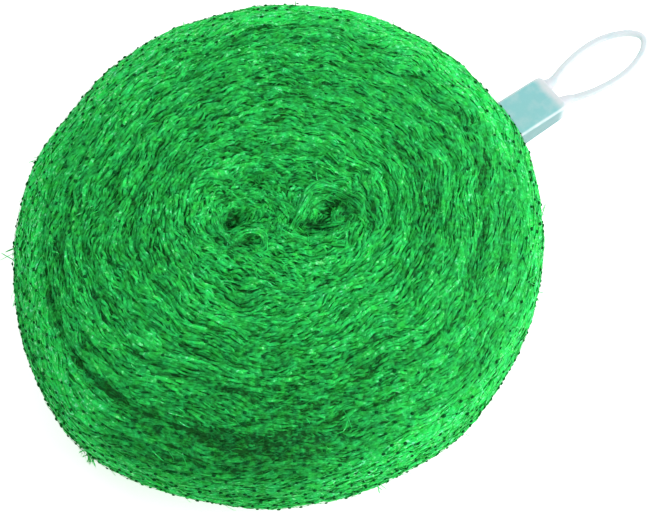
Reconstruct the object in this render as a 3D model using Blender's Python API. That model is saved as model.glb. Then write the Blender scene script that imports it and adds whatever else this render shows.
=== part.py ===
"""A flat-wound roll of bird netting, gathered at one end into a moulded clip with a hanging loop.

Metres, +Z up. The roll lies on its flat underside on z = 0, and the origin is under its centre.
+X runs from the roll's centre to the hanging loop.
"""

import math
from collections import namedtuple

import bmesh
import bpy
from mathutils import Vector

# --- Driving dimensions of the roll, in metres and degrees ---------------------------------------
ROLL_RADIUS = 0.1175  # plan radius before the outline's unevenness
WIDEST_LEVEL = 0.046  # height of the widest level above the surface
CROWN_HEIGHT = 0.0475  # from the widest level up to the crown
UNDER_DEPTH = 0.0485  # from the widest level down to the underside, before it is pressed flat
CROWN_POWER = 2.7  # superellipse powers: higher is squarer at the shoulder
UNDER_POWER = 3.2
FLAT_LIMIT = 0.0004  # netting this near the surface lies on it

OVAL_SHARE = 0.021  # the outline is this much longer towards the clip than across it
OVAL_BEARING = 5.0
OUTLINE_MEAN = 0.993

Hump = namedtuple("Hump", "bearing share spread")
# Where the outline stands out or draws in. The netting is fullest opposite the clip.
OUTLINE_HUMPS = [
    Hump(bearing=187.0, share=0.052, spread=20.0),
    Hump(bearing=110.0, share=-0.007, spread=12.0),
    Hump(bearing=206.0, share=-0.008, spread=9.0),
    Hump(bearing=272.0, share=0.010, spread=16.0),
]

TURN_PITCH = 0.0112  # one turn of the bunched netting to the next
TURN_RELIEF = 0.0015  # height of a turn's crest over its valley
TURN_SHARPNESS = 0.75  # below 1 the crests are round and the valleys narrow
TURN_UNEVENNESS = 0.45
SLOW_UNEVENNESS = 0.0006
LUMP_FREE = 0.035  # the unevenness grows to its full size over this distance from the centre

Wave = namedtuple("Wave", "laps reach start")
WAVES = [
    Wave(laps=3.0, reach=0.017, start=0.0),
    Wave(laps=5.0, reach=-0.023, start=1.3),
    Wave(laps=8.0, reach=0.011, start=4.1),
]

CREASE_TURN = 9  # the turn whose outer valley is pulled in furthest
CREASE_DEPTH = 0.0020
CREASE_BEARING = 198.0
CREASE_SPREAD = 46.0
CREASE_EVERYWHERE = 0.20  # share of the depth that goes on all the way round
CREASE_SIDES = 0.4  # share of the depth one row to each side

# The winding starts round two eyes, this far each side of the core, and is round at the rim.
CORE_PLACE = Vector((-0.0030, -0.0040))  # the core lies this far from the roll's centre
EYE_HALF_GAP = 0.0205
EYE_BEARING = -34.0
EYE_CALM = 0.011  # the turns are flat where the mean distance from the eyes is below this
ROUND_FROM, ROUND_BY = 0.085, 0.145  # along the meridian
LOST_TURN = Vector((-0.030, 0.034))  # from the core to where one of the two inner turns ends
CORE_DIP, CORE_DIP_REACH = 0.0045, 0.040  # the crown sinks a little round the eyes

Dent = namedtuple("Dent", "along across length width depth tilt")
# Along and across the line through the eyes. Length and width are the half sizes of a soft hollow,
# and a negative depth is a mound.
CORE_DENTS = [
    Dent(along=-0.0200, across=-0.0006, length=0.0092, width=0.0040, depth=0.0066, tilt=30.0),
    Dent(along=0.0212, across=0.0036, length=0.0044, width=0.0034, depth=0.0050, tilt=48.0),
    Dent(along=0.0156, across=-0.0058, length=0.0090, width=0.0036, depth=0.0062, tilt=8.0),
    Dent(along=0.0325, across=0.0036, length=0.0085, width=0.0055, depth=0.0040, tilt=-35.0),
    Dent(along=-0.0143, across=-0.0113, length=0.0050, width=0.0038, depth=0.0030, tilt=10.0),
    Dent(along=-0.0120, across=0.0180, length=0.0080, width=0.0040, depth=0.0026, tilt=40.0),
    Dent(along=-0.0035, across=0.0009, length=0.0040, width=0.0036, depth=0.0020, tilt=20.0),
    Dent(along=0.0105, across=0.0022, length=0.0120, width=0.0040, depth=-0.0026, tilt=62.0),
    Dent(along=0.0250, across=0.0110, length=0.0110, width=0.0042, depth=-0.0018, tilt=-20.0),
]

# --- Driving dimensions of the gathered end and the clip -----------------------------------------
CLIP_START, CLIP_END = 0.1265, 0.1635
CLIP_WIDTH = 0.0214
CLIP_ROOT_HEIGHT, CLIP_TIP_HEIGHT = 0.0145, 0.0110
CLIP_EDGE = 0.0014
CORNER_CUT = 0.0022  # the far corners are taken off by this much
MOUTH_WIDTH, MOUTH_HEIGHT, MOUTH_DEPTH = 0.0168, 0.0098, 0.0300
MOUTH_LEVEL = 0.0066  # height of the mouth's middle
MOUTH_TIP_HEIGHT = 0.0066

LOOP_LEVEL = 0.0056  # height of the loop's middle
LOOP_DRIFT = -0.0012  # the loop's tip lies this far to one side
STRAND_WIDTH, STRAND_HEIGHT = 0.0029, 0.0026
STRAND_CUT = 0.30  # share of each side taken off its corners

LugRing = namedtuple("LugRing", "along middle half_width height")
# A lug, from inside the clip's end to the strand that grows out of it.
LUG = [
    LugRing(along=-0.0015, middle=0.0059, half_width=0.0033, height=0.0076),
    LugRing(along=0.0017, middle=0.0059, half_width=0.0031, height=0.0068),
    LugRing(along=0.0042, middle=0.0064, half_width=0.0016, height=0.0030),
]

Station = namedtuple("Station", "along half_width")
# Half of the loop's middle line, from the clip's end to the tip.
LOOP_HALF = [
    Station(along=-0.0015, half_width=0.0054),
    Station(along=0.0030, half_width=0.0055),
    Station(along=0.0080, half_width=0.0073),
    Station(along=0.0135, half_width=0.0090),
    Station(along=0.0190, half_width=0.0102),
    Station(along=0.0250, half_width=0.0110),
    Station(along=0.0320, half_width=0.0113),
    Station(along=0.0385, half_width=0.0107),
    Station(along=0.0440, half_width=0.0093),
    Station(along=0.0490, half_width=0.0072),
    Station(along=0.0528, half_width=0.0047),
    Station(along=0.0550, half_width=0.0020),
    Station(along=0.0555, half_width=0.0000),
]

# --- Mesh resolution -----------------------------------------------------------------------------
STEPS_ROUND = 64
ROWS_PER_TURN = 4
FINE_LENGTH = 0.205  # along the meridian, from the crown's middle to below the widest level
UNDER_GROWTH = 0.20  # how fast rows widen on the hidden underside
LAST_ROW_GAP = 0.004  # the least distance from the last row to the underside's middle
PROFILE_POINTS = 240
PROFILE_STEP = 0.0008  # along the meridian, to find which way the surface faces

NETTING_GREEN = (0.055, 0.40, 0.095, 1.0)
CLIP_TINT = (0.62, 0.82, 0.84, 1.0)

Section = namedtuple("Section", "along level half_width half_height pleat")
# The gathered end, from inside the roll to inside the clip's mouth.
GATHER = [
    Section(along=0.0840, level=0.0240, half_width=0.0290, half_height=0.0175, pleat=0.0000),
    Section(along=0.0960, level=0.0210, half_width=0.0255, half_height=0.0150, pleat=0.0014),
    Section(along=0.1055, level=0.0168, half_width=0.0200, half_height=0.0118, pleat=0.0017),
    Section(along=0.1130, level=0.0130, half_width=0.0152, half_height=0.0090, pleat=0.0015),
    Section(along=0.1195, level=0.0096, half_width=0.0112, half_height=0.0066, pleat=0.0011),
    Section(along=0.1250, level=0.0070, half_width=0.0083, half_height=0.0047, pleat=0.0003),
    Section(along=0.1290, level=0.0066, half_width=0.0080, half_height=0.0045, pleat=0.0000),
    Section(along=0.1550, level=0.0051, half_width=0.0078, half_height=0.0030, pleat=0.0000),
]
GATHER_STEPS = 44
GATHER_PLEATS = 11
GATHER_SQUARENESS = 2.6
PLEAT_DRIFT = 40.0  # radians a metre that the pleats turn along the gathered end


# --- Scene and materials -------------------------------------------------------------------------
def clear_scene():
    for obj in list(bpy.data.objects):
        bpy.data.objects.remove(obj)


def principled(name, colour, roughness):
    material = bpy.data.materials.new(name)
    material.use_nodes = True
    shader = material.node_tree.nodes["Principled BSDF"]
    shader.inputs["Base Color"].default_value = colour
    shader.inputs["Roughness"].default_value = roughness
    return material


def object_from(mesh_builder, name, material, smooth_angle=None):
    """A named object from a bmesh, with its material and, for round pieces, smooth shading."""
    mesh = bpy.data.meshes.new(name)
    mesh_builder.to_mesh(mesh)
    mesh_builder.free()
    mesh.materials.append(material)
    if smooth_angle is not None:
        mesh.shade_smooth()
        mesh.set_sharp_from_angle(angle=math.radians(smooth_angle))
    obj = bpy.data.objects.new(name, mesh)
    bpy.context.scene.collection.objects.link(obj)
    return obj


def boolean(target, other, operation):
    """Joins or cuts target with other, which then stays as a hidden guide."""
    modifier = target.modifiers.new(other.name, "BOOLEAN")
    modifier.operation = operation
    modifier.object = other
    other.hide_render = True
    other.display_type = "WIRE"


# --- The wound form ------------------------------------------------------------------------------
def bump(bearing, centre, spread):
    """A smooth hump of height 1 at a bearing, in degrees, that wraps round the circle."""
    away = (bearing - centre + 180.0) % 360.0 - 180.0
    return math.exp(-((away / spread) ** 2))


def outline_factor(bearing):
    oval = OVAL_SHARE * math.cos(2.0 * math.radians(bearing - OVAL_BEARING))
    humps = sum(hump.share * bump(bearing, hump.bearing, hump.spread) for hump in OUTLINE_HUMPS)
    return OUTLINE_MEAN + oval + humps


def meridian_profile():
    """(distance along, radius, height) from the crown's middle over the rim to the underside's middle."""
    points = []
    for step in range(PROFILE_POINTS + 1):
        turn = 0.5 * math.pi * step / PROFILE_POINTS
        radius = ROLL_RADIUS * math.sin(turn) ** (2.0 / CROWN_POWER)
        height = CROWN_HEIGHT * max(math.cos(turn), 0.0) ** (2.0 / CROWN_POWER)
        points.append((radius, WIDEST_LEVEL + height))
    for step in range(1, PROFILE_POINTS + 1):
        turn = 0.5 * math.pi * step / PROFILE_POINTS
        radius = ROLL_RADIUS * max(math.cos(turn), 0.0) ** (2.0 / UNDER_POWER)
        height = WIDEST_LEVEL - UNDER_DEPTH * math.sin(turn) ** (2.0 / UNDER_POWER)
        points.append((radius, max(height, 0.0)))
    rows = [(0.0, *points[0])]
    for before, after in zip(points, points[1:]):
        rows.append((rows[-1][0] + math.dist(before, after), *after))
    return rows


def on_profile(profile, distance):
    """(radius, height) at a distance along the meridian."""
    low, high = 0, len(profile) - 1
    while high - low > 1:
        middle = (low + high) // 2
        if profile[middle][0] <= distance:
            low = middle
        else:
            high = middle
    start, end = profile[low], profile[high]
    share = min(max((distance - start[0]) / (end[0] - start[0]), 0.0), 1.0)
    return start[1] + share * (end[1] - start[1]), start[2] + share * (end[2] - start[2])


def row_distance(row):
    """Distance along the meridian of a row. Rows are even down to FINE_LENGTH and widen after it."""
    spacing = TURN_PITCH / ROWS_PER_TURN
    past = max(row - FINE_LENGTH / spacing, 0.0)
    return spacing * (row + UNDER_GROWTH * past * past)


def winding(bearing, distance):
    """(turns wound up to here, share of their full relief). The turns start as ovals round the
    two eyes, where they are shallow, and grow into one round spiral."""
    share = min(max((ROUND_BY - distance) / (ROUND_BY - ROUND_FROM), 0.0), 1.0)
    fade = share * share * (3.0 - 2.0 * share)
    turn = math.radians(bearing)
    here = Vector((distance * math.cos(turn), distance * math.sin(turn))) - fade * CORE_PLACE
    eye_turn = math.radians(EYE_BEARING)
    eye = fade * EYE_HALF_GAP * Vector((math.cos(eye_turn), math.sin(eye_turn)))
    near, far = here - eye, here + eye
    lost = here - fade * LOST_TURN
    oval = math.sqrt(near.length * far.length)
    laps = math.atan2(near.y, near.x) + math.atan2(far.y, far.x) - math.atan2(lost.y, lost.x)
    calm = min(max((oval - EYE_CALM) / TURN_PITCH, 0.0), 1.0)
    return oval / TURN_PITCH - laps / (2.0 * math.pi), calm


def core_drop(x, y):
    """How far the crown sinks at its middle and into the dents round the two eyes."""
    drop = CORE_DIP * math.exp(-(x * x + y * y) / CORE_DIP_REACH**2)
    x, y = x - CORE_PLACE.x, y - CORE_PLACE.y
    eye_turn = math.radians(EYE_BEARING)
    along = x * math.cos(eye_turn) + y * math.sin(eye_turn)
    across = y * math.cos(eye_turn) - x * math.sin(eye_turn)
    for dent in CORE_DENTS:
        tilt = math.radians(dent.tilt)
        right, ahead = along - dent.along, across - dent.across
        lengthwise = (right * math.cos(tilt) + ahead * math.sin(tilt)) / dent.length
        crosswise = (ahead * math.cos(tilt) - right * math.sin(tilt)) / dent.width
        drop += dent.depth * math.exp(-(lengthwise**2) - crosswise**2)
    return drop


def lumps(bearing, distance):
    """Slow unevenness from -1 to 1, the same after a full turn and none at the centre."""
    turn = math.radians(bearing)
    waves = sum(math.sin(wave.laps * turn + distance / wave.reach + wave.start) for wave in WAVES)
    return waves / len(WAVES) * min(distance / LUMP_FREE, 1.0)


def turn_relief(row, bearing, distance):
    """Height of the wound turns over their valleys, with the deepest crease along one valley."""
    turns, calm = winding(bearing, distance)
    crest = calm * abs(math.sin(math.pi * turns)) ** TURN_SHARPNESS
    relief = TURN_RELIEF * crest * (1.0 + TURN_UNEVENNESS * lumps(bearing, distance))
    relief += SLOW_UNEVENNESS * lumps(2.0 * bearing, 0.6 * distance)
    rows_from_crease = abs(row - CREASE_TURN * ROWS_PER_TURN)
    if rows_from_crease <= 1:
        depth = CREASE_DEPTH if rows_from_crease == 0 else CREASE_DEPTH * CREASE_SIDES
        relief -= depth * (CREASE_EVERYWHERE + bump(bearing, CREASE_BEARING, CREASE_SPREAD))
    return relief


def roll_place(profile, row, bearing, distance):
    """Where the wound form's surface lies at a bearing and a distance along the meridian."""
    radius, height = on_profile(profile, distance)
    ahead_radius, ahead_height = on_profile(profile, distance + PROFILE_STEP)
    outward = Vector((height - ahead_height, ahead_radius - radius)).normalized()
    relief = turn_relief(row, bearing, distance)
    radius *= 1.0 + (outline_factor(bearing) - 1.0) * (radius / ROLL_RADIUS) ** 2
    across = Vector((math.cos(math.radians(bearing)), math.sin(math.radians(bearing))))
    place = radius * across
    if height > WIDEST_LEVEL:
        height -= core_drop(place.x, place.y)
    place += relief * outward.x * across
    height += relief * outward.y
    return Vector((place.x, place.y, height if height > FLAT_LIMIT else 0.0))


def lowest_row(step):
    """The first row at a step round: rows that climb with the spiral need more below them."""
    return 1 - step * ROWS_PER_TURN // STEPS_ROUND


def wound_roll():
    """One spiral grid from the crown's middle over the rim to the underside's middle."""
    profile = meridian_profile()
    length = profile[-1][0]
    last = 1
    while row_distance(last + ROWS_PER_TURN + 1) < length - LAST_ROW_GAP:
        last += 1
    build = bmesh.new()
    vertex = {}
    for step in range(STEPS_ROUND):
        top_row = last if step else last + ROWS_PER_TURN
        for row in range(lowest_row(step), top_row + 1):
            bearing = 360.0 * step / STEPS_ROUND
            distance = row_distance(row + ROWS_PER_TURN * step / STEPS_ROUND)
            place = roll_place(profile, row, bearing, distance)
            vertex[step, row] = build.verts.new(place)
    for row in range(lowest_row(STEPS_ROUND), last + 1):
        # a lap's end is the start of the row one turn on
        vertex[STEPS_ROUND, row] = vertex[0, row + ROWS_PER_TURN]
    top = build.verts.new(roll_place(profile, 0, 0.0, 0.0))
    under = build.verts.new((0.0, 0.0, 0.0))

    for step in range(STEPS_ROUND):
        after = step + 1
        first, next_first = lowest_row(step), lowest_row(after)
        build.faces.new([top, vertex[step, first], vertex[after, next_first]])
        if next_first < first:
            build.faces.new([vertex[step, first], vertex[after, first], vertex[after, next_first]])
        for row in range(first, last):
            corners = ((step, row), (step, row + 1), (after, row + 1), (after, row))
            build.faces.new([vertex[corner] for corner in corners])
    close_spiral_end(build, vertex, under, last)
    bmesh.ops.recalc_face_normals(build, faces=build.faces)
    bmesh.ops.triangulate(build, faces=build.faces)
    return build


def close_spiral_end(build, vertex, centre, last):
    for step in range(1, STEPS_ROUND):
        build.faces.new([vertex[step, last], centre, vertex[step + 1, last]])
    corner = vertex[1, last]
    for row in range(last, last + ROWS_PER_TURN):
        build.faces.new([vertex[0, row], vertex[0, row + 1], corner])
    build.faces.new([vertex[0, last + ROWS_PER_TURN], centre, corner])


# --- The gathered end ----------------------------------------------------------------------------
def gather_ring(build, section):
    """A rounded-square ring whose rim is folded into pleats."""
    ring = []
    for step in range(GATHER_STEPS):
        turn = 2.0 * math.pi * step / GATHER_STEPS
        power = 2.0 / GATHER_SQUARENESS
        side = math.copysign(abs(math.cos(turn)) ** power, math.cos(turn))
        rise = math.copysign(abs(math.sin(turn)) ** power, math.sin(turn))
        fold = section.pleat * math.cos(GATHER_PLEATS * turn + PLEAT_DRIFT * section.along)
        y = (section.half_width + fold) * side
        z = section.level + (section.half_height + fold) * rise
        ring.append(build.verts.new((section.along, y, z)))
    return ring


def gathered_end():
    build = bmesh.new()
    rings = [gather_ring(build, section) for section in GATHER]
    for near, far in zip(rings, rings[1:]):
        for step in range(GATHER_STEPS):
            after = (step + 1) % GATHER_STEPS
            build.faces.new([near[step], near[after], far[after], far[step]])
    build.faces.new(list(reversed(rings[0])))
    build.faces.new(rings[-1])
    bmesh.ops.recalc_face_normals(build, faces=build.faces)
    return build


# --- The clip ------------------------------------------------------------------------------------
def rings_to_solid(build, rings):
    """Closes a run of equal rings of vertices into a solid with flat ends."""
    count = len(rings[0])
    for near, far in zip(rings, rings[1:]):
        for side in range(count):
            after = (side + 1) % count
            build.faces.new([near[side], near[after], far[after], far[side]])
    build.faces.new(list(reversed(rings[0])))
    build.faces.new(rings[-1])
    bmesh.ops.recalc_face_normals(build, faces=build.faces)


def tapered_block(build, ends):
    """A block from rows of (x, half width, low, high), one for each end."""
    rings = []
    for x, half, low, high in ends:
        corners = ((-half, low), (half, low), (half, high), (-half, high))
        rings.append([build.verts.new((x, y, z)) for y, z in corners])
    rings_to_solid(build, rings)


def round_edges(build, edges, width):
    bmesh.ops.bevel(build, geom=edges, offset=width, segments=2, profile=0.5, affect="EDGES")


def clip_body(material):
    """The tapered tube that grips the gathered end. Its mouth faces the roll."""
    build = bmesh.new()
    half = 0.5 * CLIP_WIDTH
    tapered_block(
        build,
        ((CLIP_START, half, 0.0, CLIP_ROOT_HEIGHT), (CLIP_END, half, 0.0, CLIP_TIP_HEIGHT)),
    )
    far_corners = [e for e in build.edges if min(v.co.x for v in e.verts) > CLIP_END - CLIP_EDGE]
    far_corners = [e for e in far_corners if abs(e.verts[0].co.z - e.verts[1].co.z) > CLIP_EDGE]
    round_edges(build, far_corners, CORNER_CUT)
    long_edges = [e for e in build.edges if abs(e.verts[0].co.x - e.verts[1].co.x) > CLIP_WIDTH]
    round_edges(build, long_edges, CLIP_EDGE)
    body = object_from(build, "hanging_clip", material)

    build = bmesh.new()
    half = 0.5 * MOUTH_WIDTH
    before, inside = CLIP_START - MOUTH_HEIGHT, CLIP_START + MOUTH_DEPTH
    low, high = MOUTH_LEVEL - 0.5 * MOUTH_HEIGHT, MOUTH_LEVEL + 0.5 * MOUTH_HEIGHT
    tapered_block(
        build,
        (
            (before, half, low, high),
            (CLIP_START, half, low, high),
            (inside, half, low, low + MOUTH_TIP_HEIGHT),
        ),
    )
    boolean(body, object_from(build, "mouth_cutter", material), "DIFFERENCE")
    return body


def loop_route():
    """Middle line of the loop, from one side of the clip's end round the tip to the other."""
    reach = LOOP_HALF[-1].along
    left = [(CLIP_END + s.along, s.half_width, LOOP_DRIFT * (s.along / reach) ** 2) for s in LOOP_HALF]
    right = [(x, -half, drift) for x, half, drift in reversed(left[:-1])]
    return [Vector((x, y + drift)) for x, y, drift in left + right]


def loop_strand():
    """The loop's strand: an eight-sided section swept along its route."""
    build = bmesh.new()
    route = loop_route()
    wide, tall = 0.5 * STRAND_WIDTH, 0.5 * STRAND_HEIGHT
    part_wide, part_tall = wide * (1.0 - 2.0 * STRAND_CUT), tall * (1.0 - 2.0 * STRAND_CUT)
    quarter = [(wide, part_tall), (part_wide, tall)]
    upper = quarter + [(-y, z) for y, z in reversed(quarter)]
    section = upper + [(y, -z) for y, z in reversed(upper)]
    rings = []
    for index, middle in enumerate(route):
        ahead = route[min(index + 1, len(route) - 1)] - route[max(index - 1, 0)]
        ahead.normalize()
        left = Vector((-ahead.y, ahead.x))
        ring = []
        for across, rise in section:
            place = middle + across * left
            ring.append(build.verts.new((place.x, place.y, LOOP_LEVEL + rise)))
        rings.append(ring)
    rings_to_solid(build, rings)
    return build


def lug(side):
    """The corner block that a strand of the loop grows out of, on one side of the clip's end."""
    build = bmesh.new()
    rings = []
    for lug_ring in LUG:
        x = CLIP_END + lug_ring.along
        ring = []
        for across, rise in ((-1, -1), (1, -1), (1, 1), (-1, 1)):
            y = side * lug_ring.middle + across * lug_ring.half_width
            ring.append(build.verts.new((x, y, LOOP_LEVEL + 0.5 * rise * lug_ring.height)))
        rings.append(ring)
    rings_to_solid(build, rings)
    return build


def hanging_clip(material):
    """The clip's body with the two lugs and the loop, as one moulding."""
    body = clip_body(material)
    for name, side in (("lug_left_guide", 1), ("lug_right_guide", -1)):
        boolean(body, object_from(lug(side), name, material), "UNION")
    boolean(body, object_from(loop_strand(), "strand_guide", material), "UNION")
    return body


def main():
    clear_scene()
    netting = principled("netting", NETTING_GREEN, 0.55)
    plastic = principled("clip_plastic", CLIP_TINT, 0.30)

    roll = object_from(wound_roll(), "netting_roll", netting, smooth_angle=70.0)
    boolean(roll, object_from(gathered_end(), "gather_guide", netting), "UNION")
    hanging_clip(plastic)


main()
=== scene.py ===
"""Looks of a flat-wound roll of bird netting with its gathered end in a moulded hanging clip.

The fine netting is laid over the wound form as bunched yarns that follow the winding, under the
outermost layer of net with its knots. All lengths are metres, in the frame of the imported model.
"""

import itertools
import math

import bpy
import numpy as np
from mathutils import Matrix, Vector


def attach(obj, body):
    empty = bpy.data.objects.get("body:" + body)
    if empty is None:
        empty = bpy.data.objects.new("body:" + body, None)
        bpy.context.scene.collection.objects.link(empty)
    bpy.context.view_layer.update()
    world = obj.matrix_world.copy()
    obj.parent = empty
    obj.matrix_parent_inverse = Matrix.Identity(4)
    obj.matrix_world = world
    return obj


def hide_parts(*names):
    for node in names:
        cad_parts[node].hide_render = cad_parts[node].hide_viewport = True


bl_info = {
    "name": "Bird Netting Roll",
    "version": (1, 0, 0),
    "blender": (4, 5, 0),
    "location": "View3D > Sidebar > Netting",
    "description": "Dresses a wound roll of bird netting and its hanging clip",
    "category": "Add Mesh",
}

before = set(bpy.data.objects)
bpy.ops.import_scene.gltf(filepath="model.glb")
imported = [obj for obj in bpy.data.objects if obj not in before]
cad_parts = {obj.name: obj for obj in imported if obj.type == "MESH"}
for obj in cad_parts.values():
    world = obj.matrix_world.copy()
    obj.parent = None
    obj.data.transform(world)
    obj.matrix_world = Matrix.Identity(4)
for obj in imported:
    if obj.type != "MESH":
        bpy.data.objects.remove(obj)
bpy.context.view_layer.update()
BODY = "root"
TAU = 2.0 * math.pi
MM_A_METRE = 1000.0
# No point of the form, and none of a yarn or a knot, comes nearer to the ground than this.
FORM_CLEAR, YARN_CLEAR = 0.0003, 0.0001

# The bunched yarns come in batches, and each group of pieces has its own seed.
BATCHES = 4
BATCH_SEED, CORE_SEED, NET_SEED, KNOT_SEED, NECK_SEED, ENDS_SEED = 40, 61, 8, 9, 77, 31

# Where the outline stands out or draws in: bearing in degrees, share of the radius, spread.
OUTLINE_HUMPS = ((187.0, 0.052, 20.0), (110.0, -0.007, 12.0), (206.0, -0.008, 9.0), (272.0, 0.010, 16.0))
# Slow waves of the bunched netting: laps, reach along the meridian, start.
SLOW_WAVES = ((3.0, 0.017, 0.0), (5.0, -0.023, 1.3), (8.0, 0.011, 4.1))
# How many rows the patches that run aslant cross in a lap.
LEANING_ROWS = 24
# Hollows and mounds round the two eyes: along, across, half length, half width, depth, tilt.
CORE_DENTS = (
    (-0.0200, -0.0006, 0.0092, 0.0040, 0.0066, 30.0),
    (0.0212, 0.0036, 0.0044, 0.0034, 0.0050, 48.0),
    (0.0156, -0.0058, 0.0090, 0.0036, 0.0062, 8.0),
    (0.0280, 0.0040, 0.0075, 0.0050, 0.0036, -35.0),
    (-0.0143, -0.0113, 0.0050, 0.0038, 0.0030, 10.0),
    (-0.0120, 0.0180, 0.0080, 0.0040, 0.0026, 40.0),
    (-0.0035, 0.0009, 0.0040, 0.0036, 0.0020, 20.0),
    (0.0105, 0.0022, 0.0120, 0.0040, -0.0026, 62.0),
    (0.0250, 0.0110, 0.0110, 0.0042, -0.0018, -20.0),
)
# The middle between the two eyes, the way from it to the first eye, and the winding's lost turn.
CORE_SHIFT = (-0.0030, -0.0040)
EYES_WAY = (math.cos(math.radians(-34.0)), math.sin(math.radians(-34.0)))
LOST_TURN = (-0.030, 0.034)
# Powers of the rim's section: above its widest level and below it.
CROWN_POWER, UNDER_POWER = 2.0 / 2.7, 2.0 / 3.2
# Bundles of yarn across the core: half spread, lift, yarns, then the plan places they pass, all in mm.
CORE_BUNDLES = (
    (1.3, 1.8, 24, (-21.9, 18.5), (-23.2, 15.2), (-24.4, 11.3), (-25.3, 7.2), (-26.4, 2.7), (-26.2, -2.1),
     (-24.8, -6.7)),
    (0.9, 0.8, 10, (-21.8, 13.5), (-23.0, 10.3), (-24.2, 6.5), (-26.5, 3.4), (-26.3, -0.8), (-24.4, -4.1)),
    (1.5, 0.9, 18, (-20.6, 15.1), (-16.4, 14.3), (-12.0, 11.6), (-8.7, 7.3), (-6.7, 2.7), (-4.6, -1.8),
     (-2.5, -6.9)),
    (1.1, 2.2, 24, (-26.8, -2.2), (-23.2, -0.9), (-19.0, -1.7), (-15.5, -4.3), (-13.6, -7.5),
     (-14.8, -11.3), (-17.1, -14.3), (-20.3, -13.6), (-23.1, -10.9)),
    (0.7, 1.6, 7, (1.7, 2.4), (0.8, -1.0), (0.4, -4.4), (-0.2, -8.1), (-2.6, -9.9)),
    (1.4, 1.1, 14, (-4.2, 10.5), (-2.4, 5.6), (0.2, 1.8), (2.9, -3.2), (3.1, -8.8), (-0.5, -11.4)),
    (1.3, 2.5, 26, (-6.4, -12.9), (-2.0, -12.7), (2.1, -11.6), (6.1, -9.8), (10.0, -7.4), (13.7, -5.4),
     (17.6, -5.3), (21.0, -7.3), (23.2, -10.8)),
    (1.5, 2.0, 22, (-0.5, -11.4), (4.4, -9.2), (8.3, -6.1), (12.3, -4.4), (16.7, -3.5), (21.1, -4.9),
     (24.3, -8.6), (26.3, -13.1), (27.7, -17.7)),
    (2.0, 1.0, 24, (16.2, -0.6), (19.7, -3.9), (23.3, -8.4), (26.0, -13.5), (27.8, -19.0), (28.9, -24.7),
     (29.1, -30.1)),
    (0.5, 2.6, 12, (6.1, -14.0), (8.3, -16.2), (10.7, -18.7), (13.2, -21.1), (16.2, -22.8), (19.8, -23.1)),
    (1.2, 0.8, 14, (20.0, -10.7), (18.4, -14.3), (16.7, -17.9), (14.8, -21.8), (11.9, -24.9)),
    (1.0, 0.6, 9, (23.1, -13.7), (20.8, -16.8), (17.8, -19.3), (15.1, -21.4)),
    (1.8, 0.5, 14, (24.6, -19.0), (22.0, -22.4), (18.7, -25.3), (14.3, -26.8), (9.5, -26.7), (4.9, -25.0),
     (1.1, -22.1)),
    (1.5, 0.9, 16, (-9.1, -4.9), (-8.0, -9.3), (-6.7, -13.3), (-5.4, -17.2), (-2.2, -20.8), (2.2, -22.9)),
    (1.8, 0.9, 18, (-31.0, -1.4), (-29.3, -5.7), (-26.7, -10.0), (-22.8, -13.5), (-19.3, -17.3)),
    (0.9, 1.5, 14, (2.5, -12.4), (7.0, -10.7), (11.7, -8.7), (15.6, -7.8), (19.3, -8.7), (21.7, -11.3),
     (22.2, -14.8)),
    (0.8, 0.8, 10, (4.0, -12.6), (8.0, -11.5), (12.3, -10.2), (16.5, -9.6), (19.6, -11.1)),
    (0.7, 0.5, 8, (6.0, -12.8), (9.6, -12.3), (14.3, -11.0), (18.1, -11.8), (18.9, -15.0)),
    (0.7, 0.9, 9, (24.2, -13.0), (22.4, -16.1), (19.1, -18.9), (16.0, -20.9)),
    (0.9, 0.7, 10, (24.7, -17.3), (22.3, -20.5), (19.0, -22.7), (15.1, -24.2)),
    (0.3, 2.4, 4, (1.9, 2.0), (1.3, -1.1), (0.9, -4.5)),
    (1.0, 0.6, 10, (-1.6, -15.0), (1.9, -15.4), (5.3, -16.5), (7.6, -19.2), (9.3, -22.6), (12.6, -23.9)),
    (1.1, 0.6, 10, (-6.7, -14.7), (-3.8, -18.0), (-0.5, -20.8), (3.1, -23.1), (7.4, -24.5)),
    (1.2, 0.8, 12, (-17.3, 17.3), (-12.5, 18.0), (-7.3, 18.7), (-2.2, 18.3)),
)
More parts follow.
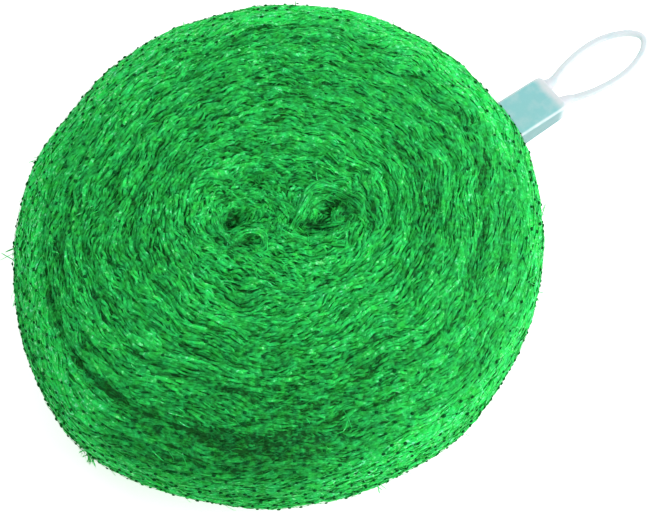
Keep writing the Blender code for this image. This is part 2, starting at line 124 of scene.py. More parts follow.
# Furrows and gaps between strands, and bright bands: the half width, how dark they are, or below 0
# how bright, then the places they pass, in mm on the surface unrolled from the crown's middle.
# The dark is painted shade in the gaps, and the bright is painted light.
FURROWS = (
    (1.2, 1, (-22.4, 7.8), (-18, 8)), (1.2, 0.55, (-18.6, 10.6), (-11.7, 7.7)),
    (1, 0.6, (-17.1, 7.1), (-12.4, 6.7)), (0.7, 0.5, (-25.8, 6.7), (-25.3, -0.9)),
    (1.6, 0.6, (-23.5, -4.9), (-20.3, -5.6)), (0.9, 0.5, (-19.6, -6.9), (-19.4, -10.3)),
    (1, 0.7, (-6.2, -0.2), (-4.8, -2.7)), (0.9, 0.5, (-8.5, 6.1), (-5.5, 4.4)),
    (0.8, 0.4, (-2.8, 2.8), (1.6, 1.6)), (0.8, 0.7, (1.6, -8.7), (2.2, -10.7)),
    (0.8, 0.6, (11, -13.3), (13.7, -12.5)), (0.9, 1, (14.8, -13.2), (16.6, -13)),
    (1.1, 0.6, (3.2, -12.9), (7.5, -14.3)), (1.1, 0.6, (2.6, -14.4), (9.5, -17.4)),
    (1.1, 1, (10.8, -18.6), (12.7, -20.3)), (1.4, 0.6, (0.6, -16.3), (4.4, -19.2)),
    (0.6, 0.7, (19.9, -15.1), (16.8, -19.2)), (0.8, 0.9, (25.7, -13.8), (19.3, -20.8)),
    (1.6, 0.3, (18.6, -11.1), (20.7, -14)), (0.7, 0.7, (26.7, -16.1), (28.5, -19.4)),
    (1.6, 0.35, (26, -19.9), (26.3, -30.7)), (0.9, 0.5, (17.8, 2.2), (24.4, -6.2)),
    (1.1, 0.6, (-6.9, 18.5), (-4.3, 19.9)), (0.8, 0.5, (-10.8, 17.5), (-7.9, 17.8)),
    (0.9, 0.6, (-7, 11.7), (-4.4, 10.8)), (0.7, 0.5, (-3.2, 11.8), (-0.5, 11.1)),
    (1.6, 0.45, (1.2, 18.6), (5.2, 16.5)), (0.8, 0.5, (-19.7, 17.7), (-16.7, 17.4)),
    (0.8, 0.5, (7.3, 1.3), (6.9, -1.4)), (0.9, 0.4, (-33, 3.7), (-31.6, -1)),
    (0.8, 0.5, (21.1, -32), (15.4, -34.4)), (0.8, 0.4, (2.8, -35.5), (4.7, -35.1)),
    (1, 0.4, (-0.7, 6.4), (0.1, 3.9)), (1.1, 0.4, (14.3, 1.2), (15.2, -2)),
    (1.9, 0.6, (0.7, -10.6), (13.1, -20)), (1.1, 0.6, (13.8, -11.8), (17.4, -14.4)),
    (0.8, 0.5, (22.5, -16.5), (19.5, -21.5)), (2.2, 0.45, (20.5, -13), (25, -22)),
    (3, 0.26, (14, -5), (20, -9)), (5.5, 0.2, (-34, 6), (-22, -20)), (5, 0.14, (-13, -14), (5, -25)),
    (2.4, 0.34, (-95, 36), (-101, 27)), (1.5, 0.32, (-101, 27), (-106, 12)),
    (3.2, -0.3, (-104, 37), (-98, 42.5)), (4.5, 0.3, (2.7, 5), (-3.4, -12.3)),
    (4.5, 0.3, (-31, 0), (-24, -7)), (1, 0.6, (-98, 40), (-103, 29), (-106, 21), (-107, 13), (-107, 6)),
    (1.4, 0.75, (-107, 6), (-107, -4), (-103, -13)), (1.5, 0.75, (-103, -14), (-102, -22), (-101, -28)),
    (1.5, 0.5, (-101, -28), (-100, -36), (-96, -45)), (0.8, 0.5, (-95, 39), (-98, 25)),
    (1.2, 0.6, (-86, 24), (-86, 15)), (1.4, 0.75, (-86, 18), (-88, 8)), (1.2, 0.5, (-88, 8), (-88, -2)),
    (0.7, 0.55, (-81, 8), (-81, -3)), (0.7, 0.45, (-77, 24), (-79, 15)), (0.8, 0.5, (-70, 2), (-67, -4)),
    (0.9, 0.65, (-61, 0), (-60, -6)), (0.9, 0.75, (-50.7, 15), (-52, 8.2)),
    (1, 0.5, (-50.8, 8), (-48.6, -3.8)), (1.5, 0.5, (-78, 44), (-81, 37)), (1.2, 0.5, (-86, 49), (-87, 45)),
    (0.9, 0.45, (-64, 21), (-66, 15)), (0.9, 0.45, (-84, 33), (-84, 29)), (0.8, 0.6, (-71, -7), (-70, -15)),
    (0.8, 0.55, (-75, -11), (-72, -19)), (0.9, 0.55, (-100, 9), (-100, -1)),
    (0.8, 0.45, (-92, 6), (-88, -8)), (0.9, 0.5, (-86, -1), (-85, -13)),
    (0.8, 0.6, (-108, -21), (-107, -30)), (1, 0.85, (-106, -28), (-105, -33)),
    (0.9, 0.6, (-100, 4), (-101, -3)), (1.6, 0.7, (-120, 19), (-119, 14)),
    (0.9, 0.5, (-96, -7), (-96, -19)), (1.4, 0.75, (-124, -15), (-122, -24)),
    (1.2, 0.75, (-124, -25), (-118, -34)), (1.4, 0.7, (-121, -35), (-116, -42)),
    (1.6, 0.75, (-113, -48), (-112, -55)), (1.4, 0.5, (-110, -54), (-105, -61)),
    (1.6, 0.55, (-93, -51), (-91, -58)), (1.5, 0.5, (-97, -62), (-98, -67)),
    (1.2, 0.5, (-110, -64), (-104, -69)), (2.8, 0.38, (-91, -59), (-55, -90)),
    (1.2, 0.4, (-73, -48), (-43, -73)), (1, 0.55, (-73, -64), (-63, -74)), (1, 0.5, (-73, -77), (-68, -84)),
    (0.7, 0.55, (-26, -96), (-16, -99), (-10, -99)), (0.6, 0.5, (-33, -87), (-28, -91)),
    (0.7, 0.55, (-84, -74), (-75, -82)), (0.8, 0.5, (-73, -84), (-71, -87)),
    (1.2, 0.5, (-51, -91), (-49, -95)), (1.4, 0.55, (-42, -98), (-41, -103)),
    (0.8, 0.5, (-56, -97), (-53, -100)), (1.1, 0.55, (-49, -108), (-49, -112)),
    (1.1, 0.55, (-101, -76), (-98, -80)), (0.9, 0.5, (-94, -80), (-89, -83)),
    (0.8, 0.5, (-100, -88), (-93, -88)), (0.9, 0.5, (77, 5), (77, 3)), (0.7, 0.45, (80, -4), (80, -12)),
    (1.2, 0.45, (95, -9), (90, -16)), (0.9, 0.45, (89, -17), (97, -19)), (1.1, 0.75, (80, -13), (80, -18)),
    (0.7, 0.5, (89, -18), (88, -23)), (0.7, 0.75, (66, -17), (64, -21)), (1, 0.6, (58, -5.1), (57.4, -22)),
    (1, 0.8, (57, -23), (53.7, -30.4)), (0.9, 0.7, (46.4, -15.1), (45.8, -26.4)),
    (0.9, 0.6, (65, -27), (63, -33)), (0.8, 0.5, (55.7, -33.5), (52.3, -39.4)),
    (0.9, 0.6, (62, -35), (59, -39)), (1.2, 0.7, (85, -33), (75, -45)), (1.2, 0.6, (91, -30), (88, -37)),
    (0.9, 0.6, (83, -39), (80, -45)), (1.4, 0.6, (72, -46), (72, -50)), (1.2, 0.45, (67, -50), (65, -56)),
    (1.1, 0.7, (71, -53), (69, -56)), (0.9, 0.6, (39.4, -37.4), (35.7, -41.8)),
    (1.8, 0.4, (57.6, -57.6), (53.9, -64.2)), (0.9, 0.5, (49, -49.9), (44.4, -52.9)),
    (0.9, 0.5, (38.7, -49.6), (35.2, -53.2)), (0.8, 0.85, (55, -68), (51, -73)),
    (1.2, 0.5, (49, -74), (47, -79)), (0.9, 0.5, (44, -74), (41, -80)),
    (1.2, 0.6, (27, -54.2), (23.3, -59.1)), (0.8, 0.5, (25, -72), (29, -72)),
    (0.9, 0.7, (31, -80), (29, -82)), (0.9, 0.6, (20, -82), (25, -82)), (1.1, 0.6, (21, -89), (15, -91)),
    (0.9, 0.5, (9, -79), (11, -81)), (1, 0.5, (35, -108), (25, -111), (18, -112)),
    (0.7, 0.6, (3, -98), (8, -97)), (0.9, 0.5, (35, -90), (32, -92)), (1, 0.5, (-18, -98), (-11, -100)),
    (1.2, 0.5, (-4, -96), (-4, -98)), (1.1, 0.4, (71, -88), (67, -92)),
    (2.1, -0.4, (-110, 15), (-115, 4), (-120, -8), (-119, -18), (-117, -26)),
    (2.3, -0.25, (-108, 34), (-112, 21), (-114, 11)), (1.8, -0.3, (-94, 44), (-103, 36)),
    (0.9, -0.5, (-72, 8), (-72, 1)), (1.3, -0.35, (-97, 4), (-96, -1)),
    (1.8, -0.35, (-77, -16), (-76, -19)), (1.4, -0.3, (-78, -7), (-77, -14)),
    (1.4, -0.15, (-88, -30), (-77, -48)),
    (2.3, -0.35, (-134, -19), (-133, -31), (-136, -48), (-132, -64), (-128, -87)),
    (1.2, -0.5, (-17, -86), (-12, -88)), (1.2, -0.45, (-15, -96), (-9, -98)),
    (1.2, -0.45, (-37, -79), (-32, -82)), (0.9, -0.4, (-44, -77), (-40, -79)),
    (1, -0.35, (-29, -83), (-23, -85)), (0.9, -0.45, (77, -50), (67, -57), (58, -64)),
    (0.9, -0.3, (89, -38), (82, -48)), (4.1, -0.42, (112, 3), (108, -14), (104, -32), (101, -49)),
    (3.7, -0.25, (101, -49), (93, -68), (87, -86)),
    (3.2, -0.25, (87, -86), (68, -103), (45, -118), (26, -123)), (0.6, -0.55, (26, -82), (26, -89)),
    (1, -0.6, (28, -95), (33, -95)), (1.4, -0.5, (9, -99), (13, -99)), (1.4, -0.35, (6, -80), (15, -83)),
    (1.4, -0.4, (-3, -79), (4, -81)), (1.4, -0.4, (31, -85), (33, -84)), (1.8, -0.25, (35, -97), (40, -96)),
    (4.1, -0.25, (26, -123), (0, -126), (-22, -124), (-49, -124)),
)
# Painted light and shade in lighter and darker stretches: bearing, distance along, spread in degrees,
# reach, and how much lighter.
PAINTED_LIGHT_AND_SHADE = (
    (128, 0.116, 34, 0.011, 0.32), (107, 0.104, 10, 0.008, 0.14), (141, 0.114, 8, 0.008, 0.20),
    (85, 0.111, 22, 0.010, 0.27), (50, 0.110, 34, 0.010, 0.50), (4, 0.110, 18, 0.009, 0.20),
    (338, 0.104, 13, 0.006, 0.10), (354, 0.075, 14, 0.008, 0.12), (86, 0.084, 16, 0.010, 0.20),
    (106, 0.084, 9, 0.007, 0.14), (88, 0.045, 9, 0.006, -0.20), (102, 0.053, 6, 0.006, 0.14),
    (24, 0.032, 30, 0.008, 0.12), (265, 0.066, 14, 0.012, 0.13), (262, 0.126, 20, 0.013, 0.20),
    (300, 0.112, 8, 0.006, 0.20), (268, 0.112, 14, 0.012, 0.12), (285, 0.047, 10, 0.006, 0.14),
    (358, 0.113, 7, 0.006, 0.14), (304, 0.124, 8, 0.007, -0.12), (155, 0.117, 20, 0.010, 0.10),
    (183, 0.121, 13, 0.010, 0.24), (172, 0.128, 7, 0.005, -0.22), (190, 0.142, 14, 0.010, 0.14),
    (153, 0.096, 7, 0.006, -0.30), (237, 0.100, 26, 0.022, -0.15), (212, 0.082, 22, 0.012, -0.12),
    (222, 0.066, 16, 0.010, -0.10), (200, 0.127, 10, 0.007, -0.20), (222, 0.137, 12, 0.007, -0.24),
    (318, 0.099, 30, 0.016, -0.13), (315, 0.0665, 15, 0.005, -0.28), (341, 0.0635, 13, 0.005, -0.20),
    (345, 0.089, 14, 0.007, -0.16), (150, 0.058, 28, 0.016, -0.08), (291, 0.118, 13, 0.010, -0.18),
    (124, 0.103, 18, 0.010, 0.12), (53, 0.096, 10, 0.012, 0.12), (183, 0.118, 7, 0.008, 0.12),
    (177, 0.121, 6, 0.006, 0.12), (281, 0.122, 9, 0.008, -0.15), (130, 0.0275, 16, 0.004, 0.17),
    (38, 0.057, 9, 0.006, -0.19), (49, 0.0355, 13, 0.005, -0.13), (352, 0.052, 9, 0.006, 0.18),
    (359, 0.113, 5, 0.006, 0.18), (57, 0.105, 6, 0.006, 0.12), (296, 0.100, 7, 0.006, 0.16),
    (281, 0.061, 7, 0.005, -0.15), (280, 0.0455, 12, 0.005, 0.14), (277, 0.100, 12, 0.006, 0.13),
    (22, 0.091, 6, 0.007, -0.13), (207, 0.014, 30, 0.004, -0.16), (168, 0.051, 12, 0.006, -0.13),
    (251, 0.148, 10, 0.008, 0.16), (345, 0.096, 7, 0.006, -0.10), (99, 0.085, 5, 0.006, -0.14),
    (58, 0.070, 7, 0.010, 0.12),
)
# How densely the bunched yarns and the single loose ends lie: the distances along, and the chances.
YARN_CHANCE = ((0.0, 0.10, 0.19, 0.215, 0.25), (1.0, 1.0, 0.85, 0.25, 0.05))
LOOSE_CHANCE = ((0.0, 0.09, 0.12, 0.2, 0.25), (0.6, 0.6, 1.0, 0.7, 0.0))
# Where tufts of loose ends stand out: bearing, distance along, strands, how far they stand out.
TUFTS = (
    (148.0, 0.132, 2, 0.0072),
    (145.0, 0.124, 1, 0.0050),
    (156.0, 0.134, 2, 0.0040),
    (126.0, 0.123, 2, 0.0030),
    (191.0, 0.157, 22, 0.0034),
    (255.0, 0.156, 5, 0.0036),
    (328.0, 0.130, 3, 0.0028),
)
# How the lay leans outwards round the roll: the distance along, then the cosine and sine shares
# of 1 to 5 waves a lap, in radians.
LEANS = (
    (0.055, -0.001, -0.027, 0.060, -0.084, -0.103, 0.034, -0.025, 0.029, 0.058, -0.023),
    (0.105, -0.013, -0.095, 0.021, -0.147, 0.025, -0.010, -0.001, -0.041, -0.053, -0.021),
)
# The outer net's first and last rows of knots, and how much it leans, in radians a metre.
NET_FROM, NET_TO, NET_LEAN = 0.052, 0.215, 1.6
# How much of the fine relief the outer net follows, and its threads' half width and lift.
NET_FINE = 0.3
THREAD_HALF, THREAD_LIFT = 0.00013, 0.0002
# A knot's half sizes along the lay, across it and outwards, as shares of the knot size.
KNOT_SHAPE = (1.2, 1.0, 0.65)
KNOT_DARK = (0.002, 0.050, 0.010, 1.0)
# The gathered end: along, level, half width, half height, pleat depth.
GATHER = (
    (0.0960, 0.0210, 0.0255, 0.0150, 0.0014),
    (0.1055, 0.0168, 0.0200, 0.0118, 0.0017),
    (0.1130, 0.0130, 0.0152, 0.0090, 0.0015),
    (0.1195, 0.0096, 0.0112, 0.0066, 0.0011),
    (0.1250, 0.0070, 0.0083, 0.0047, 0.0004),
    (0.1290, 0.0066, 0.0080, 0.0045, 0.0002),
    (0.1550, 0.0051, 0.0078, 0.0030, 0.0000),
)
# The clip's body: its mouth, its far end and its half width, then its height at both.
CLIP_START, CLIP_END, CLIP_HALF = 0.1265, 0.1635, 0.0107
CLIP_ROOT, CLIP_TIP = 0.0145, 0.0110
# The loop's middle level, and its strand: along from the clip's end, half width, half height.
LOOP_LEVEL = 0.0056
LOOP_STRAND = (
    (-0.002, 0.0010, 0.0036, 0.0075, 0.02),
    (0.0033, 0.0032, 0.0025, 0.0018, 0.00162),
    (0.0038, 0.0036, 0.0026, 0.0015, 0.00135),
)
# Half of the loop's middle line: along from the clip's end, half width of the leaf.
LOOP_HALF = (
    (-0.0020, 0.0059),
    (0.0012, 0.0059),
    (0.0042, 0.0061),
    (0.0080, 0.0073),
    (0.0135, 0.0090),
    (0.0190, 0.0102),
    (0.0250, 0.0110),
    (0.0320, 0.0113),
    (0.0385, 0.0107),
    (0.0440, 0.0093),
    (0.0490, 0.0072),
    (0.0528, 0.0047),
    (0.0550, 0.0020),
    (0.0555, 0.0000),
)
# The lights: name, place to the view's right, ahead and up, size, power.
LIGHTS = (("key", 1.2, -0.25, 0.95, 1.3, 22.0), ("fill", -0.6, 1.1, 1.3, 1.6, 9.0))
# The place that the camera looks at: to the view's right, ahead and up, and the one the lights face.
LOOKED_AT, LIT_LEVEL = (0.0200, -0.0040, 0.045), 0.04


# --- Sizes and colours a user would change --------------------------------------------------------
class NettingRollSizes(bpy.types.PropertyGroup):
    roll_radius: bpy.props.FloatProperty(
        name="Roll radius", description="Plan radius of the wound roll", default=0.1175, unit="LENGTH"
    )
    widest_level: bpy.props.FloatProperty(
        name="Widest level", description="Height of the rim's widest level", default=0.046, unit="LENGTH"
    )
    crown_height: bpy.props.FloatProperty(
        name="Crown height", description="Widest level to crown", default=0.0475, unit="LENGTH"
    )
    under_depth: bpy.props.FloatProperty(
        name="Under depth", description="Widest level to underside", default=0.0485, unit="LENGTH"
    )
    turn_pitch: bpy.props.FloatProperty(
        name="Turn pitch", description="One wound turn to the next", default=0.0112, unit="LENGTH"
    )
    turn_relief: bpy.props.FloatProperty(
        name="Turn relief", description="Height of a turn's crest", default=0.0015, unit="LENGTH"
    )
    eye_half_gap: bpy.props.FloatProperty(
        name="Eye half gap", description="Centre to each eye", default=0.0205, unit="LENGTH"
    )
    under_yarns: bpy.props.FloatProperty(
        name="Backing depth",
        description="How far the backing lies under the yarns",
        default=0.0009,
        unit="LENGTH",
    )
    yarn_width: bpy.props.FloatProperty(
        name="Yarn width", description="Mean width of a bunched yarn", default=0.00112, unit="LENGTH"
    )
    yarn_length: bpy.props.FloatProperty(
        name="Yarn length", description="Mean visible length of a yarn", default=0.0068, unit="LENGTH"
    )
    yarns_a_batch: bpy.props.IntProperty(
        name="Yarns a batch", description="Yarns in each of the batches", default=11200
    )
    net_columns: bpy.props.IntProperty(
        name="Net columns", description="Meshes of the outer net round the rim", default=72
    )
    net_row: bpy.props.FloatProperty(
        name="Net row", description="One row of knots to the next", default=0.0029, unit="LENGTH"
    )
    knot_size: bpy.props.FloatProperty(
        name="Knot size", description="Half the size of a knot", default=0.00074, unit="LENGTH"
    )


class NettingRollColours(bpy.types.PropertyGroup):
    yarn_dark: bpy.props.FloatVectorProperty(
        name="Yarn dark", description="Deep green", default=(0.007, 0.088, 0.015), subtype="COLOR"
    )
    yarn_light: bpy.props.FloatVectorProperty(
        name="Yarn light", description="Bright green", default=(0.027, 0.74, 0.116), subtype="COLOR"
    )
    yarn_painted_glint: bpy.props.FloatVectorProperty(
        name="Yarn glint", description="Pale green of its glints", default=(0.30, 0.98, 0.50), subtype="COLOR"
    )
    knot_green: bpy.props.FloatVectorProperty(
        name="Knot green", description="Dark knots", default=(0.006, 0.130, 0.026), subtype="COLOR"
    )
    clip_aqua: bpy.props.FloatVectorProperty(
        name="Clip aqua", description="Over the netting", default=(0.23, 0.49, 0.52), subtype="COLOR"
    )
    clip_milk: bpy.props.FloatVectorProperty(
        name="Clip milk", description="Clear of the netting", default=(0.57, 0.590, 0.625), subtype="COLOR"
    )


class StageSettings(bpy.types.PropertyGroup):
    floor_size: bpy.props.FloatProperty(
        name="Floor size", description="Side of the pale floor", default=60.0, unit="LENGTH"
    )
    view_bearing: bpy.props.FloatProperty(
        name="View bearing", description="Turn of the view", default=math.radians(-37.0), subtype="ANGLE"
    )
    view_height: bpy.props.FloatProperty(
        name="View height", description="Angle above the floor", default=math.radians(66.0), subtype="ANGLE"
    )
    view_distance: bpy.props.FloatProperty(
        name="View distance", description="Camera to the roll", default=1.0, unit="LENGTH"
    )
    lens: bpy.props.FloatProperty(name="Lens", description="Focal length in mm", default=123.5)


# --- The wound form -------------------------------------------------------------------------------
def bump(bearing, centre, spread):
    """A soft hump round a bearing in degrees, 1 at its centre."""
    away = (bearing - centre + 180.0) % 360.0 - 180.0
    return np.exp(-((away / spread) ** 2))


def smooth(share):
    """An eased step from 0 to 1."""
    share = np.clip(share, 0.0, 1.0)
    return share * share * (3.0 - 2.0 * share)


def meridian(sizes):
    """Distance along, radius and height, from the crown's middle to the underside's middle."""
    turn = np.linspace(0.0, 0.5 * math.pi, 500)
    sine, cosine = np.sin(turn), np.clip(np.cos(turn), 0.0, 1.0)
    radius = np.concatenate([sine**CROWN_POWER, cosine[1:] ** UNDER_POWER]) * sizes.roll_radius
    crown = sizes.widest_level + sizes.crown_height * cosine**CROWN_POWER
    under = sizes.widest_level - sizes.under_depth * sine[1:] ** UNDER_POWER
    height = np.concatenate([crown, np.maximum(under, 0.0)])
    steps = np.hypot(np.diff(radius), np.diff(height))
    return np.concatenate([[0.0], np.cumsum(steps)]), radius, height


def outline(bearing):
    """The outline's radius at a bearing, as a share of the roll's."""
    oval = 0.021 * np.cos(2.0 * np.radians(bearing - 5.0))
    return 0.993 + oval + sum(share * bump(bearing, at, spread) for at, share, spread in OUTLINE_HUMPS)


def eyes(u, v, sizes):
    """Offsets from the two eyes of the winding, and from its lost turn, which fade out with distance."""
    fade = smooth((0.145 - np.hypot(u, v)) / 0.060)
    u, v = u - fade * CORE_SHIFT[0], v - fade * CORE_SHIFT[1]
    gap_u, gap_v = (fade * sizes.eye_half_gap * part for part in EYES_WAY)
    lost = (u - fade * LOST_TURN[0], v - fade * LOST_TURN[1])
    return (u - gap_u, v - gap_v), (u + gap_u, v + gap_v), lost


def mean_distance(u, v, sizes):
    """Mean distance from the eyes, whose level lines are the lay of the winding."""
    near, far, _ = eyes(u, v, sizes)
    return np.sqrt(np.hypot(*near) * np.hypot(*far))


def winding(turn, along, sizes):
    """(turns wound, share of their relief, mean distance) at a bearing and a meridian distance."""
    near, far, lost = eyes(along * np.cos(turn), along * np.sin(turn), sizes)
    oval = np.sqrt(np.hypot(*near) * np.hypot(*far))
    laps = np.arctan2(near[1], near[0]) + np.arctan2(far[1], far[0]) - np.arctan2(lost[1], lost[0])
    calm = np.clip((oval - 0.011) / sizes.turn_pitch, 0.0, 1.0)
    return oval / sizes.turn_pitch - laps / TAU, calm, oval


def core_axes(x, y):
    """Distances along and across the line through the two eyes, from its middle."""
    x, y = x - CORE_SHIFT[0], y - CORE_SHIFT[1]
    cosine, sine = EYES_WAY
    return x * cosine + y * sine, y * cosine - x * sine


def dents(x, y):
    """Depth of the hollows of the core, less its mounds."""
    along, across = core_axes(x, y)
    depth_here = np.zeros_like(x)
    for at, aside, length, width, depth, tilt in CORE_DENTS:
        c, s = math.cos(math.radians(tilt)), math.sin(math.radians(tilt))
        right, ahead = along - at, across - aside
        lengthwise, crosswise = (right * c + ahead * s) / length, (ahead * c - right * s) / width
        depth_here += depth * np.exp(-(lengthwise**2) - crosswise**2)
    return depth_here


def furrow_distances(turn, along):
    """For each run of a furrow: its reach, half width and darkness, and each place's squared distance."""
    x, y = MM_A_METRE * along * np.cos(turn), MM_A_METRE * along * np.sin(turn)
    for half_width, dark, *places in FURROWS:
        for (ax, ay), (bx, by) in zip(places, places[1:]):
            run_x, run_y = bx - ax, by - ay
            share = np.clip(((x - ax) * run_x + (y - ay) * run_y) / (run_x**2 + run_y**2 + 0.01), 0.0, 1.0)
            away = (x - ax - share * run_x) ** 2 + (y - ay - share * run_y) ** 2
            yield run_x, run_y, half_width, dark, away


def furrows(turn, along):
    """The painted shade of the furrows and gaps at each place, or below 0 the painted light of the bright
    bands.
    """
    total = np.zeros_like(along)
    for _, _, half_width, dark, away in furrow_distances(turn, along):
        near, wide = np.exp(-away / half_width**2), np.exp(-away / (2.3 * half_width) ** 2)
        total += dark * (1.25 * near - 0.3 * wide if dark > 0 else np.exp(-away / (1.5 * half_width) ** 2))
    return np.clip(total, -0.6, 1.0)


def along_furrows(turn, along, angle, stretch):
    """The lay's angle, turned along the furrows near it."""
    level, steep = np.cos(2.0 * angle), np.sin(2.0 * angle)
    for run_x, run_y, half_width, _, away in furrow_distances(turn, along):
        around = (run_y * np.cos(turn) - run_x * np.sin(turn)) / stretch
        outward = run_x * np.cos(turn) + run_y * np.sin(turn)
        size = around**2 + outward**2 + 1e-9
        pull = 1.6 * min(math.hypot(run_x, run_y) / 4.0, 1.0)
        weight = pull * np.exp(-away / (1.2 + 1.2 * half_width) ** 2)
        level = level + weight * (around**2 - outward**2) / size
        steep = steep + weight * 2.0 * around * outward / size
    turned = 0.5 * np.arctan2(steep, level) - angle
    return angle + turned - math.pi * np.round(turned / math.pi)


def core_drop(x, y):
    """How far the crown sinks at its middle and into the hollows of the core."""
    return 0.0045 * np.exp(-(x * x + y * y) / 0.040**2) + dents(x, y)


def lumps(turn, along):
    """Slow unevenness of the bunched netting, from -1 to 1."""
    waves = sum(np.sin(laps * turn + along / reach + start) for laps, reach, start in SLOW_WAVES)
    return waves / len(SLOW_WAVES) * np.minimum(along / 0.035, 1.0)


def patches(turn, along, cells, reach, seed, lean=0):
    """Smooth random patches from -1 to 1: cells to a lap, and one for each reach across.

    With a lean of 1 or -1 they run aslant, one way or the other.
    """
    rows = LEANING_ROWS if lean else 256
    rng = np.random.default_rng(seed)
    table, starts = rng.uniform(-1.0, 1.0, (rows, cells)), rng.uniform(0.0, cells, rows)
    a, b = (turn / TAU % 1.0) * cells, along / reach + 96.0 + lean * LEANING_ROWS * (turn / TAU % 1.0)
    j = np.floor(b).astype(int)

    def row_of(index):
        place = a + starts[index]
        i = np.floor(place).astype(int)
        share = smooth(place - i)
        return table[index, i % cells] * (1 - share) + table[index, (i + 1) % cells] * share

    across = smooth(b - j)
    return row_of(j % rows) * (1 - across) + row_of((j + 1) % rows) * across


def crease(turn, along, sizes):
    """Share of the crease's depth where the outermost turn lies over the one inside it."""
    rows = (along / sizes.turn_pitch - turn % TAU / TAU - 9.0) * 4.0
    depth = np.interp(rows, (-2.2, -0.9, -0.1, 0.35, 1.2), (0.0, 0.4, 1.0, -0.25, 0.0))
    return depth * (0.20 + bump(np.degrees(turn), 190.0, 34.0)), rows


def fan(turn, along):
    """Share of the fan that comes out from under the outermost turn."""
    inside = smooth((along - 0.060) / 0.025) * smooth((0.107 - along) / 0.005)
    return bump(np.degrees(turn), 180.0, 36.0) * inside


def leaning(turn, along):
    """How far the lay's lean draws it aside, as a share of the distance along."""
    table = np.array(LEANS)
    total = np.zeros_like(along)
    for waves in range(1, table.shape[1] // 2 + 1):
        cosine, sine = (np.interp(along, table[:, 0], table[:, 2 * waves + k]) for k in (-1, 0))
        total += (cosine * np.sin(waves * turn) - sine * np.cos(waves * turn)) / waves
    return total * smooth((along - 0.036) / 0.014)


def lay_level(turn, along, oval):
    """What the lay keeps level: mean distance, drawn aside where the netting bunches and fans out."""
    aside = 0.0026 * patches(turn, along, 30, 0.022, 11) + 0.0011 * patches(turn, along, 62, 0.012, 15)
    fanned = 0.34 * along * np.radians((np.degrees(turn) % 360.0) - 180.0) * fan(turn, along)
    return oval + aside * np.minimum(along / 0.08, 1.0) + fanned - along * leaning(turn, along)


def drawn(turn, along):
    """Where the netting is drawn out into long even strands, from 0 to 1."""
    bearing = np.degrees(turn)
    places = bump(bearing, 195.0, 34.0) + bump(bearing, 325.0, 46.0) + 0.8 * bump(bearing, 105.0, 24.0)
    felted = bump(bearing, 165.0, 45.0) * smooth((along - 0.112) / 0.012)
    return np.minimum(places, 1.0) * smooth((along - 0.040) / 0.025) * (1.0 - felted)


def bunches(turn, oval):
    """Bunched netting along the lay, aslant both ways, from -1 to 1."""
    value = 0.45 * (patches(turn, oval, 30, 0.0034, 5, 1) + patches(turn, oval, 34, 0.0030, 8, -1))
    return value + 0.35 * patches(turn, oval, 96, 0.0018, 6)


def relief(turn, along, sizes, fine):
    """Height of the wound turns and their unevenness over the plain form."""
    turns, calm, oval = winding(turn, along, sizes)
    crest = calm * np.abs(np.sin(math.pi * turns)) ** 0.75
    height = sizes.turn_relief * crest * (1.0 + 0.45 * lumps(turn, along))
    height += 0.0006 * lumps(2.0 * turn, 0.6 * along)
    height -= 0.0020 * crease(turn, along, sizes)[0]
    if fine:
        oval = lay_level(turn, along, oval)
        height += fine * (0.0006 * bunches(turn, oval) + 0.0004 * patches(turn, oval, 10, 0.0028, 17))
    return height


def tone_and_painted_shading(turn, along, sizes):
    """How much lighter or darker the netting is at each place: random tone with painted light and shade."""
    turns, calm, oval = winding(turn, along, sizes)
    crest = calm * np.abs(np.sin(math.pi * turns)) ** 0.75
    oval = lay_level(turn, along, oval)
    sunk, rows = crease(turn, along, sizes)
    outer = smooth((rows - 0.6) / 1.2) * smooth((6.0 - rows) / 3.0)
    x, y = along * np.cos(turn), along * np.sin(turn)
    bearing = np.degrees(turn)
    # Bunches and strands along the lay, quieter on the rim: random tone, and painted shade
    # that follows the bunched relief.
    value = 0.14 * bunches(turn, oval) + 0.03 * patches(turn, oval, 18, 0.009, 7)
    value += 0.12 * patches(turn, oval, 10, 0.0028, 17)
    value *= np.interp(along, (0.095, 0.125), (1.0, 0.45))
    # Painted light on the turns' crests and the outermost turn, painted shade in its crease,
    # and painted light on the bright edge beside it.
    value += 0.10 * (crest - 0.75) + 0.10 * outer * bump(bearing, 185.0, 40.0)
    value -= sunk * (0.06 + 0.26 * bump(bearing, 166.0, 24.0))
    value += 0.20 * bump(rows, 1.6, 1.0) * bump(bearing, 163.0, 16.0)
    # Painted light on the rim, more on its lit side, and painted shade on its shaded side,
    # then the painted light and shade of the stretches in their table.
    value += 0.20 * smooth((along - 0.110) / 0.022)
    value += 0.14 * bump(bearing, 20.0, 70.0) * smooth((along - 0.099) / 0.010)
    band = smooth((along - 0.098) / 0.012) * smooth((0.135 - along) / 0.010)
    value -= 0.26 * bump(bearing, 222.0, 32.0) * band
    for at, away, spread, reach, amount in PAINTED_LIGHT_AND_SHADE:
        value += amount * bump(bearing, at, spread) * np.exp(-(((along - away) / reach) ** 2))
    # The finest strands, then painted shade in the core's hollows, and the furrows' painted shade and light.
    value += 0.17 * patches(turn, oval, 40, 0.0013, 16)
    value -= np.where(along < 0.09, 30.0 * np.clip(dents(x, y), -0.0015, 0.009), 0.0)
    return value - 0.40 * furrows(turn, along)


